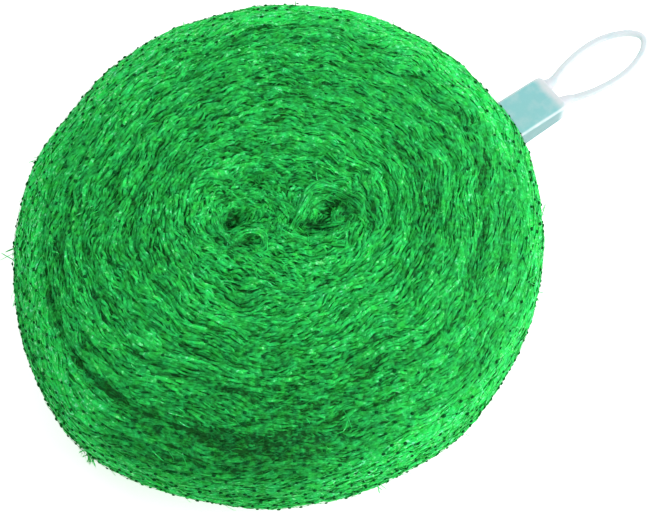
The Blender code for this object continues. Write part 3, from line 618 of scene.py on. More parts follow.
def surface(turn, along, sizes, lift=0.0, fine=1.0):
    """Points on the wound netting, lifted off it along the form's outward direction."""
    distance, radii, heights = meridian(sizes)
    radius, height = np.interp(along, distance, radii), np.interp(along, distance, heights)
    ahead = along + 0.0008
    ahead_radius, ahead_height = np.interp(ahead, distance, radii), np.interp(ahead, distance, heights)
    out_r, out_z = height - ahead_height, ahead_radius - radius
    size = np.maximum(np.hypot(out_r, out_z), 1e-9)
    out_r, out_z = out_r / size, out_z / size
    bearing = np.degrees(turn)
    raised = relief(turn, along, sizes, fine) + lift
    radius = radius * (1.0 + (outline(bearing) - 1.0) * (radius / sizes.roll_radius) ** 2)
    x, y = radius * np.cos(turn), radius * np.sin(turn)
    height = height - np.where(height > sizes.widest_level, core_drop(x, y), 0.0)
    x, y = x + raised * out_r * np.cos(turn), y + raised * out_r * np.sin(turn)
    return np.stack([x, y, np.maximum(height + raised * out_z, FORM_CLEAR)], -1)


# --- Meshes from arrays ---------------------------------------------------------------------------
def mesh_piece(name, points, faces, material):
    """A smooth piece from an array of points and one or more arrays of equal-sided faces."""
    faces = faces if isinstance(faces, list) else [faces]
    mesh = bpy.data.meshes.new(name)
    loops = np.concatenate([f.ravel() for f in faces])
    counts = np.concatenate([np.full(len(f), f.shape[1]) for f in faces])
    mesh.vertices.add(len(points))
    mesh.vertices.foreach_set("co", points.astype(np.float32).ravel())
    mesh.loops.add(len(loops))
    mesh.loops.foreach_set("vertex_index", loops.astype(np.int32))
    mesh.polygons.add(len(counts))
    starts = np.concatenate([[0], np.cumsum(counts)[:-1]])
    mesh.polygons.foreach_set("loop_start", starts.astype(np.int32))
    mesh.polygons.foreach_set("use_smooth", np.ones(len(counts), bool))
    mesh.update(calc_edges=True)
    mesh.validate()
    mesh.materials.append(material)
    piece = bpy.data.objects.new(name, mesh)
    bpy.context.scene.collection.objects.link(piece)
    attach(piece, BODY)
    return piece


def ring_faces(rows, steps):
    """Four-sided faces between rows of points, each a closed ring of as many steps."""
    row, step = np.meshgrid(np.arange(rows - 1), np.arange(steps), indexing="ij")
    a, b = row * steps + step, row * steps + (step + 1) % steps
    return np.stack([a, b, b + steps, a + steps], -1).reshape(-1, 4)


def add_map(piece, name, places):
    """A UV map from one place for each face corner."""
    layer = piece.data.uv_layers.new(name=name)
    layer.data.foreach_set("uv", places.astype(np.float32).ravel())


def add_shade(piece, values):
    """Each point's shade, its tone with painted light and shade, for the material to read."""
    layer = piece.data.attributes.new("shade", "FLOAT", "POINT")
    layer.data.foreach_set("value", values.astype(np.float32))


def unit(vectors):
    """The vectors, each brought to a length of 1."""
    return vectors / np.maximum(np.linalg.norm(vectors, axis=-1, keepdims=True), 1e-12)


def yarn_arrays(paths, normals, widths, heights, roll):
    """Points and faces of many yarns: each a low tent along its path, tapered to both ends."""
    count, stations = paths.shape[:2]
    ahead = unit(np.gradient(paths, axis=1))
    side = unit(np.cross(normals, ahead))
    up = unit(np.cross(ahead, side))
    side_r = side * np.cos(roll) + up * np.sin(roll)
    up_r = up * np.cos(roll) - side * np.sin(roll)
    share = np.linspace(0.0, 1.0, stations)[None, :, None]
    taper = 0.45 + 0.55 * np.sin(math.pi * share) ** 0.5
    left = paths - side_r * widths * taper
    right = paths + side_r * widths * taper
    top = paths + up_r * heights * taper
    points = np.stack([left, top, right], 2).reshape(-1, 3)
    points[:, 2] = np.maximum(points[:, 2], YARN_CLEAR)
    start = np.arange(count)[:, None, None] * stations * 3
    ring = np.arange(stations - 1)[None, :, None] * 3
    strip = np.arange(2)[None, None, :]
    a = start + ring + strip
    faces = np.stack([a, a + 1, a + 4, a + 3], -1).reshape(-1, 4)
    return points, faces


def yarn_map(count, stations, columns):
    """One small cell of the map for each yarn."""
    rows = math.ceil(count / columns)
    index = np.arange(count)
    cell = np.stack([index % columns, index // columns], -1)[:, None, None, None, :]
    i = np.arange(stations - 1)[None, :, None, None]
    j = np.arange(2)[None, None, :, None]
    corner_i = np.array([0, 0, 1, 1])[None, None, None, :]
    corner_j = np.array([0, 1, 1, 0])[None, None, None, :]
    along = (i + corner_i) / (stations - 1) * 0.84 + 0.08 + 0.0 * j
    across = (j + corner_j) / 2.0 * 0.6 + 0.2 + 0.0 * i
    inside = np.stack([np.broadcast_to(along, across.shape), across], -1)
    return ((cell + inside) / np.array([columns, rows])).reshape(-1, 2)


# --- Materials ------------------------------------------------------------------------------------
EASED = {"interpolation_type": "SMOOTHSTEP"}
COLOURED = {"data_type": "RGBA"}
ADD, SUBTRACT, MULTIPLY = ({"operation": name} for name in ("ADD", "SUBTRACT", "MULTIPLY"))


def feed(made, item, inputs):
    """Set a node's inputs: each to a value, or to a made node's output, written like "mottle.Fac"."""
    for socket, given in inputs.items():
        if isinstance(given, str):
            source, output = given.split(".")
            item.id_data.links.new(made[source].outputs[output], item.inputs[socket])
        else:
            item.inputs[socket].default_value = given


def wire(tree, rows, **made):
    """Nodes by name, made from rows of a name, a kind, a place, the inputs and any settings."""
    for name, kind, place, inputs, *settings in rows:
        made[name] = tree.nodes.new(f"ShaderNode{kind}")
        made[name].location = place
        for key, value in dict(*settings).items():
            setattr(made[name], key, value)
        feed(made, made[name], inputs)
    return made


def ranged(value, low, high, start=0.0, end=1.0):
    """Inputs of a range node: low to high becomes start to end."""
    return {"Value": value, "From Min": low, "From Max": high, "To Min": start, "To Max": end}


def cloudy(place, scale, detail):
    """Inputs of a noise node."""
    return {"Vector": place, "Scale": scale, "Detail": detail}


def new_material(name):
    """A new material, with its node tree and its shader."""
    material = bpy.data.materials.new(name)
    material.use_nodes = True
    return material, material.node_tree, material.node_tree.nodes["Principled BSDF"]


# Streaks along the lay and flecks move each yarn's own shade between dark and light. Small bright
# strokes of painted highlight glint where it is light, and the hue drifts slowly.
YARN_FINISH = (
    ("place", "TexCoord", (-900, -300), {}),
    ("streaks", "TexNoise", (-650, 200), {**cloudy("given.Lay", 1.0, 3.0), "Roughness": 0.6}),
    ("centred", "Math", (-430, 200), {0: "streaks.Fac", 1: 0.5}, SUBTRACT),
    ("strength", "Math", (-250, 200), {0: "centred.Value", 1: "given.Streak"}, MULTIPLY),
    ("shade", "Math", (-80, 120), {0: "strength.Value", 1: "given.Shade"}, ADD),
    ("flecks", "TexNoise", (-650, -200), cloudy("place.Object", 540.0, 2.0)),
    ("flecked", "MapRange", (-430, -200), ranged("flecks.Fac", 0.35, 0.65, -0.19, 0.17)),
    ("shade_sum", "Math", (90, 160), {0: "shade.Value", 1: "flecked.Result"}, ADD),
    ("mixed", "Clamp", (180, 60), {"Value": "shade_sum.Value"}),
    ("colour", "Mix", (280, 60), {"Factor": "mixed.Result", "A": "given.Dark", "B": "given.Light"}, COLOURED),
    ("rough", "MapRange", (280, -160), ranged("mixed.Result", 0.0, 1.0, 0.72, 0.52)),
    ("sparks", "TexNoise", (-650, 420), cloudy("place.Object", 700.0, 1.0)),
    ("spark", "MapRange", (-430, 420), ranged("sparks.Fac", 0.56, 0.70, 0.0, 0.7), EASED),
    ("lit", "MapRange", (280, 280), ranged("shade_sum.Value", 0.45, 1.05), EASED),
    ("bright", "Math", (380, 420), {0: "spark.Result", 1: "lit.Result"}, MULTIPLY),
    (
        "glinting",
        "Mix",
        (480, 160),
        {"Factor": "bright.Value", "A": "colour.Result", "B": "given.Glint"},
        COLOURED,
    ),
    ("hues", "TexNoise", (-650, 640), cloudy("place.Object", 230.0, 3.0)),
    ("hue", "MapRange", (-430, 640), ranged("hues.Fac", 0.30, 0.70)),
    (
        "tints",
        "Mix",
        (280, 640),
        {"Factor": "hue.Result", "A": (1.08, 1.0, 0.74, 1.0), "B": (0.94, 1.0, 1.30, 1.0)},
        COLOURED,
    ),
    (
        "tinted",
        "Mix",
        (640, 260),
        {"Factor": 1.0, "A": "glinting.Result", "B": "tints.Result"},
        {"data_type": "RGBA", "blend_type": "MULTIPLY"},
    ),
)


def yarn_finish_group():
    """Bunched yarn: streaks of dark and light green along the lay, flecks, painted glints, and fine relief.
    """
    name = "Yarn finish"
    if name in bpy.data.node_groups:
        return bpy.data.node_groups[name]
    tree = bpy.data.node_groups.new(name, "ShaderNodeTree")
    for label, kind, start in (
        ("Lay", "Vector", None),
        ("Shade", "Float", 0.5),
        ("Dark", "Color", (0.01, 0.2, 0.03, 1.0)),
        ("Light", "Color", (0.05, 0.6, 0.14, 1.0)),
        ("Glint", "Color", (0.2, 0.9, 0.4, 1.0)),
        ("Streak", "Float", 0.5),
    ):
        socket = tree.interface.new_socket(name=label, in_out="INPUT", socket_type=f"NodeSocket{kind}")
        if start is not None:
            socket.default_value = start
    for label, kind in (("Color", "Color"), ("Roughness", "Float"), ("Height", "Float")):
        tree.interface.new_socket(name=label, in_out="OUTPUT", socket_type=f"NodeSocket{kind}")
    given, result = tree.nodes.new("NodeGroupInput"), tree.nodes.new("NodeGroupOutput")
    given.location, result.location = (-900, 0), (820, 0)
    made = wire(tree, YARN_FINISH, given=given)
    feed(made, result, {"Color": "tinted.Result", "Roughness": "rough.Result", "Height": "mixed.Result"})
    return tree


def yarn_material(name, colours, streak, shade, lay_map, lay_scale, bump_depth):
    """Shiny polyethylene yarn. Its shade is a set value or comes from each yarn's own, with its painted light
    and shade.
    """
    if name in bpy.data.materials:
        return bpy.data.materials[name]
    material, tree, shader = new_material(name)
    rows = []
    if lay_map:
        rows.append(("lay", "UVMap", (-760, 100), {}, {"uv_map": lay_map}))
    else:
        rows.append(("lay", "TexCoord", (-760, 100), {}))
    if shade is None:
        rows.append(("own", "Attribute", (-540, -120), {}, {"attribute_name": "shade"}))
    finish = {
        "Lay": "scaled.Vector",
        "Shade": "own.Fac" if shade is None else shade,
        "Dark": (*colours.yarn_dark, 1.0),
        "Light": (*colours.yarn_light, 1.0),
        "Glint": (*colours.yarn_painted_glint, 1.0),
        "Streak": streak,
    }
    lay = "lay.UV" if lay_map else "lay.Object"
    rows += [
        ("scaled", "VectorMath", (-540, 100), {0: lay, 1: lay_scale}, MULTIPLY),
        ("finish", "Group", (-300, 0), finish, {"node_tree": yarn_finish_group()}),
        ("grain", "Bump", (-80, -220), {"Strength": 0.7, "Distance": bump_depth, "Height": "finish.Height"}),
    ]
    feed(wire(tree, rows), shader, {
        "Base Color": "finish.Color",
        "Roughness": "finish.Roughness",
        "Normal": "grain.Normal",
        "Specular IOR Level": 0.12,
        "Specular Tint": (0.55, 1.0, 0.65, 1.0),
    })
    return material


def knot_material(colours):
    """Dark knots, lighter here and there."""
    name = "Net knot"
    if name in bpy.data.materials:
        return bpy.data.materials[name]
    material, tree, shader = new_material(name)
    greens = {"Factor": "mottle.Fac", "A": KNOT_DARK, "B": (*colours.knot_green, 1.0)}
    made = wire(tree, (
        ("place", "TexCoord", (-760, 0), {}),
        ("mottle", "TexNoise", (-560, 0), cloudy("place.Object", 350.0, 3.0)),
        ("colour", "Mix", (-300, 0), greens, COLOURED),
        ("rough", "MapRange", (-300, -240), ranged("mottle.Fac", 0.0, 1.0, 0.6, 0.8)),
        ("grain", "Bump", (-80, -240), {"Strength": 0.5, "Distance": 0.0001, "Height": "mottle.Fac"}),
    ))
    feed(made, shader, {
        "Base Color": "colour.Result",
        "Roughness": "rough.Result",
        "Normal": "grain.Normal",
        "Specular IOR Level": 0.03,
    })
    return material


def clip_material(colours):
    """Milky moulded plastic: aqua where netting fills it and whiter at its end and loop."""
    name = "Clip plastic"
    if name in bpy.data.materials:
        return bpy.data.materials[name]
    material, tree, shader = new_material(name)
    aqua, milk = (*colours.clip_aqua, 1.0), (*colours.clip_milk, 1.0)
    shadow = (*(0.6 * part for part in colours.clip_aqua), 1.0)
    clamped_add, clamped_subtract = ({**work, "use_clamp": True} for work in (ADD, SUBTRACT))
    slope, edges = {0: "place.Object", 1: (0.0946, 0.0, 1.0)}, {0: "rim.Value", 1: 0.7, 2: "clouded.Result"}
    made = wire(tree, (
        ("place", "TexCoord", (-1000, 0), {}),
        ("parts", "SeparateXYZ", (-820, 0), {0: "place.Object"}),
        # The far end and the loop, past the end of the netting.
        ("end", "MapRange", (-620, 120), ranged("parts.X", 0.1570, 0.1622), EASED),
        # The flanks, and the rim between them and the sloping top, which get painted shade and a painted
        # highlight.
        ("aside", "Math", (-620, 340), {0: "parts.Y"}, {"operation": "ABSOLUTE"}),
        ("beside", "MapRange", (-420, 340), ranged("aside.Value", 0.0092, 0.0101), EASED),
        ("sloped", "VectorMath", (-620, 540), slope, {"operation": "DOT_PRODUCT"}),
        ("above", "MapRange", (-420, 540), ranged("sloped.Value", 0.0250, 0.0258), EASED),
        ("rim", "Math", (-240, 440), {0: "beside.Result", 1: "above.Result"}, MULTIPLY),
        ("flank", "Math", (-80, 280), {0: "beside.Result", 1: "rim.Value"}, SUBTRACT),
        ("bare", "Math", (60, 400), {0: "flank.Value", 1: "end.Result"}, clamped_subtract),
        # Cloudy plastic, whiter at the end and the loop, with a painted highlight along the rim and painted
        # shade on its flanks.
        ("cloud", "TexNoise", (-820, -240), cloudy("place.Object", 170.0, 4.0)),
        ("clouded", "MapRange", (-620, -240), ranged("cloud.Fac", 0.35, 0.65, -0.16, 0.22)),
        ("edge", "Math", (-80, 440), edges, {"operation": "MULTIPLY_ADD"}),
        ("share", "Math", (-420, 40), {0: "end.Result", 1: "edge.Value"}, clamped_add),
        ("colour", "Mix", (-220, 60), {"Factor": "share.Value", "A": aqua, "B": milk}, COLOURED),
        ("shaded", "Mix", (220, 160), {"Factor": "bare.Value", "A": "colour.Result", "B": shadow}, COLOURED),
        ("rough", "MapRange", (-420, -240), ranged("cloud.Fac", 0.0, 1.0, 0.24, 0.40)),
        ("ripple", "Bump", (-220, -260), {"Strength": 0.25, "Distance": 0.0003, "Height": "cloud.Fac"}),
    ))
    feed(made, shader, {
        "Base Color": "shaded.Result",
        "Roughness": "rough.Result",
        "Normal": "ripple.Normal",
        "Subsurface Weight": 0.35,
        "Subsurface Radius": (0.004, 0.006, 0.006),
        "Subsurface Scale": 1.0,
    })
    return material


# --- Pieces ---------------------------------------------------------------------------------------
class WoundNetting(bpy.types.Operator):
    """The backing of the roll: the wound form with its turns, under the yarns"""

    bl_idname = "netting.wound_netting"
    bl_label = "Wound netting"

    def execute(self, context):
        sizes, colours = context.scene.netting_sizes, context.scene.netting_colours
        length = meridian(sizes)[0][-1]
        steps, rows = 260, 132
        turn = np.arange(steps) / steps * TAU
        share = np.linspace(0.0, 1.0, rows + 2)[1:-1]
        along = length * (0.85 * share + 0.15 * share**3)
        turns, alongs = np.meshgrid(turn, along)
        points = surface(turns, alongs, sizes, -sizes.under_yarns).reshape(-1, 3)
        top = surface(np.zeros(1), np.zeros(1), sizes, -sizes.under_yarns)
        under = surface(np.zeros(1), np.full(1, length), sizes, -sizes.under_yarns)
        points = np.concatenate([points, top, under])
        quads = ring_faces(rows, steps)[:, [0, 3, 2, 1]]
        step = np.arange(steps)
        after = (step + 1) % steps
        crown = np.stack([np.full(steps, rows * steps), step, after], -1)
        last = (rows - 1) * steps
        base = np.stack([np.full(steps, rows * steps + 1), last + after, last + step], -1)
        material = yarn_material("Netting backing", colours, 0.9, None, "Lay", (90.0, 900.0, 1.0), 0.0005)
        piece = mesh_piece("wound_netting", points, [quads, crown, base], material)
        across = winding(turns, alongs, sizes)[2]
        # The backing is dark, painted shade in the gaps between the yarns.
        shades = np.clip(0.14 + tone_and_painted_shading(turns, alongs, sizes), 0.0, 1.0).ravel()
        add_shade(piece, np.concatenate([shades, [0.1, 0.3]]))
        loops = np.empty(len(piece.data.loops), np.int32)
        piece.data.loops.foreach_get("vertex_index", loops)
        corner = np.concatenate([turns.ravel(), [0.0, 0.0]])[loops]
        across_of = np.concatenate([across.ravel(), [0.0, length]])[loops]
        block = corner[: len(quads) * 4].reshape(-1, 4)
        block[:, 2:] = np.where(block[:, 2:] < block[:, :1] - 1e-6, TAU, block[:, 2:])
        add_map(piece, "Lay", np.stack([corner * sizes.roll_radius, across_of], -1))
        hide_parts("netting_roll")
        return {"FINISHED"}


def lay_direction(turn, along, sizes):
    """How much the lay runs round the roll and how much outwards, at each place."""
    u, v, step = along * np.cos(turn), along * np.sin(turn), 0.0004

    def level(u, v):
        return lay_level(np.arctan2(v, u), np.hypot(u, v), mean_distance(u, v, sizes))

    grad_u = level(u + step, v) - level(u - step, v)
    grad_v = level(u, v + step) - level(u, v - step)
    flow = unit(np.stack([-grad_v, grad_u], -1))
    round_way = np.stack([-np.sin(turn), np.cos(turn)], -1)
    out_way = np.stack([np.cos(turn), np.sin(turn)], -1)
    return (flow * round_way).sum(-1), (flow * out_way).sum(-1)


def tangle(u, v):
    """Turn of the lay where the core's yarns lie anyhow."""
    along, across = core_axes(u, v)
    near = np.exp(-(((along / 0.036) ** 2 + (across / 0.024) ** 2) ** 1.5))
    lap = (u / 0.4 + 0.5) * TAU
    return near * (1.5 * patches(lap, v, 50, 0.008, 12) + 0.8 * patches(lap, v, 110, 0.0036, 13))


def yarn_routes(turn, along, lengths, slants, bends, stations, sizes, kinks=None):
    """Routes in (turn, along) that follow the lay at each yarn's own slant, bend and kinks."""
    distance, radii, _ = meridian(sizes)
    routes = np.empty((len(turn), stations, 2))
    step = lengths / (stations - 1)
    turn, along = turn.copy(), along.copy()
    for station in range(stations):
        routes[:, station, 0], routes[:, station, 1] = turn, along
        around, outward = lay_direction(turn, along, sizes)
        u, v = along * np.cos(turn), along * np.sin(turn)
        radius = np.maximum(np.interp(along, distance, radii), 1e-4)
        stretch = np.maximum(along, 1e-4) / radius
        angle = along_furrows(turn, along, np.arctan2(outward, around) + tangle(u, v), stretch)
        angle = angle + slants + bends * (station / stations - 0.5)
        if kinks is not None:
            angle = angle + kinks[:, station]
        du = np.cos(angle) * stretch * -np.sin(turn) + np.sin(angle) * np.cos(turn)
        dv = np.cos(angle) * stretch * np.cos(turn) + np.sin(angle) * np.sin(turn)
        u, v = u + step * du, v + step * dv
        turn, along = np.arctan2(v, u), np.minimum(np.hypot(u, v), distance[-1] - 0.002)
    return routes


def scattered(count, chance, sizes, rng):
    """Places spread evenly over the surface, thinned by a chance along the meridian."""
    distance, radii, _ = meridian(sizes)
    weight = radii * np.interp(distance, *chance)
    total = np.concatenate([[0.0], np.cumsum(0.5 * (weight[1:] + weight[:-1]) * np.diff(distance))])
    along = np.interp(rng.random(count) * total[-1], total, distance)
    return rng.random(count) * TAU, along


def normals_on(routes, sizes):
    """Outward directions of the form along routes."""
    turn, along = routes[..., 0], routes[..., 1]
    here = surface(turn, along, sizes, fine=0.0)
    round_step = surface(turn + 0.001 / np.maximum(along, 0.004), along, sizes, fine=0.0) - here
    out_step = surface(turn, along + 0.001, sizes, fine=0.0) - here
    return unit(np.cross(out_step, round_step))


def yarn_piece(name, paths, normals, widths, shades, columns, colours, rng):
    """A batch of yarns as one piece, each with its own shade and cell of the map."""
    count, stations = paths.shape[:2]
    widths = widths.reshape(count, 1, 1)
    heights = widths * rng.uniform(0.4, 0.85, (count, 1, 1))
    points, faces = yarn_arrays(paths, normals, widths, heights, rng.normal(0.0, 0.5, (count, 1, 1)))
    material = yarn_material("Netting yarn", colours, 0.5, None, None, (300.0, 300.0, 300.0), 0.00020)
    piece = mesh_piece(name, points, faces, material)
    shades = np.broadcast_to(np.clip(shades, 0.0, 1.0), (count, stations))
    add_shade(piece, np.repeat(shades[..., None], 3, 2).ravel())
    add_map(piece, "OFBake", yarn_map(count, stations, columns))
    return piece


def bunched_yarns(batch, sizes, colours):
    """One batch of the yarns that cover the roll, laid along the winding."""
    rng = np.random.default_rng(BATCH_SEED + batch)
    count, stations = sizes.yarns_a_batch, 5
    turn, along = scattered(count, YARN_CHANCE, sizes, rng)
    # Yarns stay off the first eye and out of the furrows.
    near, _, _ = eyes(along * np.cos(turn), along * np.sin(turn), sizes)
    clear = np.hypot(*near) > rng.uniform(0.0050, 0.0075, count)
    clear &= furrows(turn, along) < rng.uniform(0.35, 0.75, count)
    turn, along, count = turn[clear], along[clear], int(clear.sum())
    # On the crown they slant and kink freely. On the rim, and beside the clip, they are drawn tight.
    even, bearing = drawn(turn, along), np.degrees(turn)
    tight = bump(bearing, 10.0, 80.0)
    crown_reach = 0.120 - 0.014 * tight + 0.012 * bump(bearing, 165.0, 40.0)
    crown = np.clip((crown_reach - along) / 0.014, 0.0, 1.0)
    lengths = sizes.yarn_length * rng.uniform(0.5, 1.6, count) * (0.9 + 0.5 * even)
    side = np.where(rng.random(count) < 0.5, -1.0, 1.0)
    slants = side * rng.uniform(0.0, 0.24, count) * (0.4 + 0.6 * crown) + rng.normal(0.0, 0.05, count)
    kinked = (0.3 + 0.7 * crown * (1.0 - 0.7 * even)) * (1.0 - 0.35 * tight)
    kinks = rng.normal(0.0, 0.22, (count, stations)) * kinked[:, None]
    bends = rng.normal(0.0, 0.16, count)
    routes = yarn_routes(turn, along, lengths, slants, bends, stations, sizes, kinks)
    # They rise off the backing at their middles, less where they are tight or near a furrow.
    share = np.linspace(0.0, 1.0, stations)[None, :]
    loose = np.interp(along, (0.0, 0.085, 0.105, 0.2), (1.0, 0.9, 0.40, 0.30))[:, None]
    loose = loose * (1.0 - 0.35 * tight[:, None])
    height = rng.uniform(0.0, 1.0, (count, 1))
    rise = np.sin(math.pi * share) ** 0.6
    sunk = np.clip(furrows(turn, along), 0.0, 1.0)[:, None]
    raised = (0.0006 + 0.0016 * height**1.5 * loose) * rise * (1.0 - 0.8 * sunk)
    lift = -sizes.under_yarns - 0.0004 + raised
    paths = surface(routes[..., 0], routes[..., 1], sizes, lift)
    widths = 0.5 * sizes.yarn_width * rng.uniform(0.6, 1.45, count)
    # Painted light on high yarns and painted shade on the ends that go under others, over the tone
    # and the painted light and shade of the place.
    shades = 0.20 * (height - 0.5) + rng.normal(0.0, 0.05, (count, 1)) - 0.10 * (1.0 - rise)
    contrast = (0.35 + 0.65 * crown) * (1.0 - 0.25 * tight)
    shades = (shades + rng.normal(0.0, 0.09, (count, stations))) * contrast[:, None]
    own = tone_and_painted_shading(turn, along, sizes)[:, None]
    shades = shades + 0.52 + 0.5 * own + 0.5 * tone_and_painted_shading(routes[..., 0], routes[..., 1], sizes)
    normals = normals_on(routes, sizes)
    yarn_piece(f"bunched_yarns_{batch + 1}", paths, normals, widths, shades, 40, colours, rng)


class BunchedYarns(bpy.types.Operator):
    """The bunched yarns of the netting, laid along the winding in batches"""

    bl_idname = "netting.bunched_yarns"
    bl_label = "Bunched yarns"

    def execute(self, context):
        for batch in range(BATCHES):
            bunched_yarns(batch, context.scene.netting_sizes, context.scene.netting_colours)
        return {"FINISHED"}


def core_bundles(sizes, colours, rng):
    """Twisted bundles of yarn that cross the two eyes along the places of their table."""
    distance, radii, _ = meridian(sizes)
    half = np.argmax(radii)
    stations = 9
    share = np.linspace(0.0, 1.0, stations)
    paths, shades, all_widths = [], [], []
    for spread, lift, count, *places in CORE_BUNDLES:
        places = np.array(places) / MM_A_METRE
        steps = np.concatenate([[0.0], np.cumsum(np.linalg.norm(np.diff(places, axis=0), axis=1))])
        for _ in range(count):
            first, last = rng.uniform(0.0, 0.3), rng.uniform(0.7, 1.0)
            at = (first + (last - first) * share) * steps[-1]
            x, y = np.interp(at, steps, places[:, 0]), np.interp(at, steps, places[:, 1])
            ahead = unit(np.stack([np.gradient(x), np.gradient(y)], -1))
            aside = rng.normal(0.0, 0.5) + rng.normal(0.0, 0.5) * (share - 0.5) * 2.0
            aside = aside + 0.3 * np.sin(rng.uniform(4, 9) * share + rng.uniform(0, 6))
            aside = aside + rng.normal(0.0, 0.22, stations)
            x = x - ahead[:, 1] * aside * spread / MM_A_METRE
            y = y + ahead[:, 0] * aside * spread / MM_A_METRE
            turn, away = np.arctan2(y, x), np.interp(np.hypot(x, y), radii[:half], distance[:half])
            raised = rng.uniform(0.2, 1.0) * lift / MM_A_METRE
            rise = np.sin(math.pi * share) ** 0.5
            path = surface(turn, away, sizes, -0.0014 + (0.0014 + raised) * rise, 0.5)
            chord = np.linspace(path[0, 2], path[-1, 2], stations)
            path[:, 2] += 0.55 * np.maximum(chord - path[:, 2], 0.0)
            paths.append(path)
            # Painted light on high yarns, and painted shade on their ends and in the core's hollows and
            # furrows.
            shade = 0.42 + 0.18 * (raised / 0.002) + rng.normal(0.0, 0.12) - 0.4 * (1.0 - rise)
            shade = shade + rng.normal(0.0, 0.14, stations)
            shades.append(shade - 14.0 * np.clip(dents(x, y), 0.0, 0.009) - 0.30 * furrows(turn, away))
            all_widths.append(0.5 * sizes.yarn_width * rng.uniform(0.5, 1.1))
    paths = np.array(paths)
    normals = np.broadcast_to(np.array([0.0, 0.0, 1.0]), paths.shape)
    yarn_piece("core_bundles", paths, normals, np.array(all_widths), np.array(shades), 8, colours, rng)


def core_yarns(sizes, colours, rng):
    """Short tangled yarns round the two eyes and between the bundles."""
    count, stations = 1500, 6
    spread = rng.normal(0.0, 1.0, (count, 2)) * np.array([0.022, 0.012])
    cosine, sine = EYES_WAY
    u = spread[:, 0] * cosine - spread[:, 1] * sine + CORE_SHIFT[0]
    v = spread[:, 0] * sine + spread[:, 1] * cosine + CORE_SHIFT[1]
    lengths, slants = rng.uniform(0.003, 0.0075, count), rng.normal(0.0, 0.40, count)
    kinks = rng.normal(0.0, 0.25, (count, stations))
    bends = rng.normal(0.0, 0.6, count)
    routes = yarn_routes(np.arctan2(v, u), np.hypot(u, v), lengths, slants, bends, stations, sizes, kinks)
    share = np.linspace(0.0, 1.0, stations)[None, :]
    rise, height = np.sin(math.pi * share) ** 0.6, rng.uniform(0.0, 1.0, (count, 1))
    paths = surface(routes[..., 0], routes[..., 1], sizes, -0.0012 + (0.0006 + 0.0016 * height) * rise)
    # Painted light on high yarns and painted shade on their ends.
    shades = 0.36 + 0.24 * height + rng.normal(0.0, 0.09, (count, stations)) - 0.16 * (1.0 - rise)
    shades = shades + tone_and_painted_shading(routes[..., 0], routes[..., 1], sizes)
    widths = 0.5 * sizes.yarn_width * rng.uniform(0.55, 1.2, count)
    yarn_piece("core_yarns", paths, normals_on(routes, sizes), widths, shades, 16, colours, rng)


class CoreBundles(bpy.types.Operator):
    """Bundles of yarn that cross the roll's two eyes, and the yarns between them"""

    bl_idname = "netting.core_bundles"
    bl_label = "Core bundles"

    def execute(self, context):
        rng = np.random.default_rng(CORE_SEED)
        core_bundles(context.scene.netting_sizes, context.scene.netting_colours, rng)
        core_yarns(context.scene.netting_sizes, context.scene.netting_colours, rng)
        return {"FINISHED"}


def knot_places(sizes):
    """(turn, along, shown) of the outer net's knots in staggered rows."""
    rng = np.random.default_rng(NET_SEED)
    rows = np.arange(int(NET_FROM / sizes.net_row), int(NET_TO / sizes.net_row))
    row, column = np.meshgrid(rows, np.arange(sizes.net_columns), indexing="ij")
    along = row * sizes.net_row
    turn = (column + 0.5 * (row % 2)) / sizes.net_columns * TAU + NET_LEAN * (along - 0.1)
    turn = turn + 0.010 * patches(turn, along, 9, 0.03, 21) + rng.normal(0.0, 0.0045, turn.shape)
    along = along + 0.0016 * patches(turn, along, 12, 0.03, 22) + rng.normal(0.0, 0.0004, turn.shape)
    chance = np.interp(along, (NET_FROM, 0.080, 0.098, 0.112, 0.124), (0.03, 0.10, 0.30, 0.50, 0.95))
    bearing = np.degrees(turn)
    chance = chance * (1.0 - 0.62 * bump(bearing, 300.0, 50.0) * smooth((0.150 - along) / 0.015))
    chance = chance * (1.0 - 0.50 * bump(bearing, 22.0, 45.0) * smooth((0.140 - along) / 0.015))
    chance = chance * (1.0 + 0.7 * bump(bearing, 118.0, 45.0) * smooth((along - 0.092) / 0.010))
    return turn, along, rng.random(turn.shape) < chance


def knot_ball():
    """The 12 corners and 20 three-sided faces of a round ball, one unit in radius."""
    golden = 0.5 * (1.0 + math.sqrt(5.0))
    corners = []
    for a, b in ((1, golden), (-1, golden), (1, -golden), (-1, -golden)):
        corners += [(0, a, b), (a, b, 0), (b, 0, a)]
    ball = unit(np.array(corners, float))
    distances = np.linalg.norm(ball[:, None] - ball[None], axis=-1)
    near = distances < distances[distances > 0].min() * 1.1
    sides = []
    for i, j, k in itertools.combinations(range(len(ball)), 3):
        if near[i, j] and near[j, k] and near[i, k]:
            outwards = np.dot(np.cross(ball[j] - ball[i], ball[k] - ball[i]), ball[i]) > 0
            sides.append((i, j, k) if outwards else (i, k, j))
    return ball, np.array(sides)


def net_knots(turn, along, shown, sizes, colours, rng):
    """The knots that show, each a ball drawn out along the lay and lying on the yarns."""
    lift = 0.00036 - 0.0002 * smooth((along - 0.106) / 0.006) + rng.uniform(0.0, 0.0003, turn.shape)
    centre = surface(turn, along, sizes, lift, NET_FINE)[shown]
    normal = normals_on(np.stack([turn, along], -1), sizes)[shown]
    around, outward = lay_direction(turn, along, sizes)
    step = 0.0005
    onward = surface(turn + step * around / sizes.roll_radius, along + step * outward, sizes, lift, NET_FINE)
    ahead = unit(onward[shown] - centre)
    aside = unit(np.cross(normal, ahead))
    size = sizes.knot_size * rng.uniform(0.7, 1.2, (len(centre), 1, 1))
    ball, sides = knot_ball()
    long, wide, high = KNOT_SHAPE
    shaped = ball[:, 0, None] * ahead[:, None] * long + ball[:, 1, None] * aside[:, None] * wide
    points = centre[:, None] + (shaped + ball[:, 2, None] * normal[:, None] * high) * size
    points[..., 2] = np.maximum(points[..., 2], YARN_CLEAR)
    faces = np.arange(len(centre))[:, None, None] * len(ball) + sides[None]
    mesh_piece("outer_net_knots", points.reshape(-1, 3), faces.reshape(-1, 3), knot_material(colours))


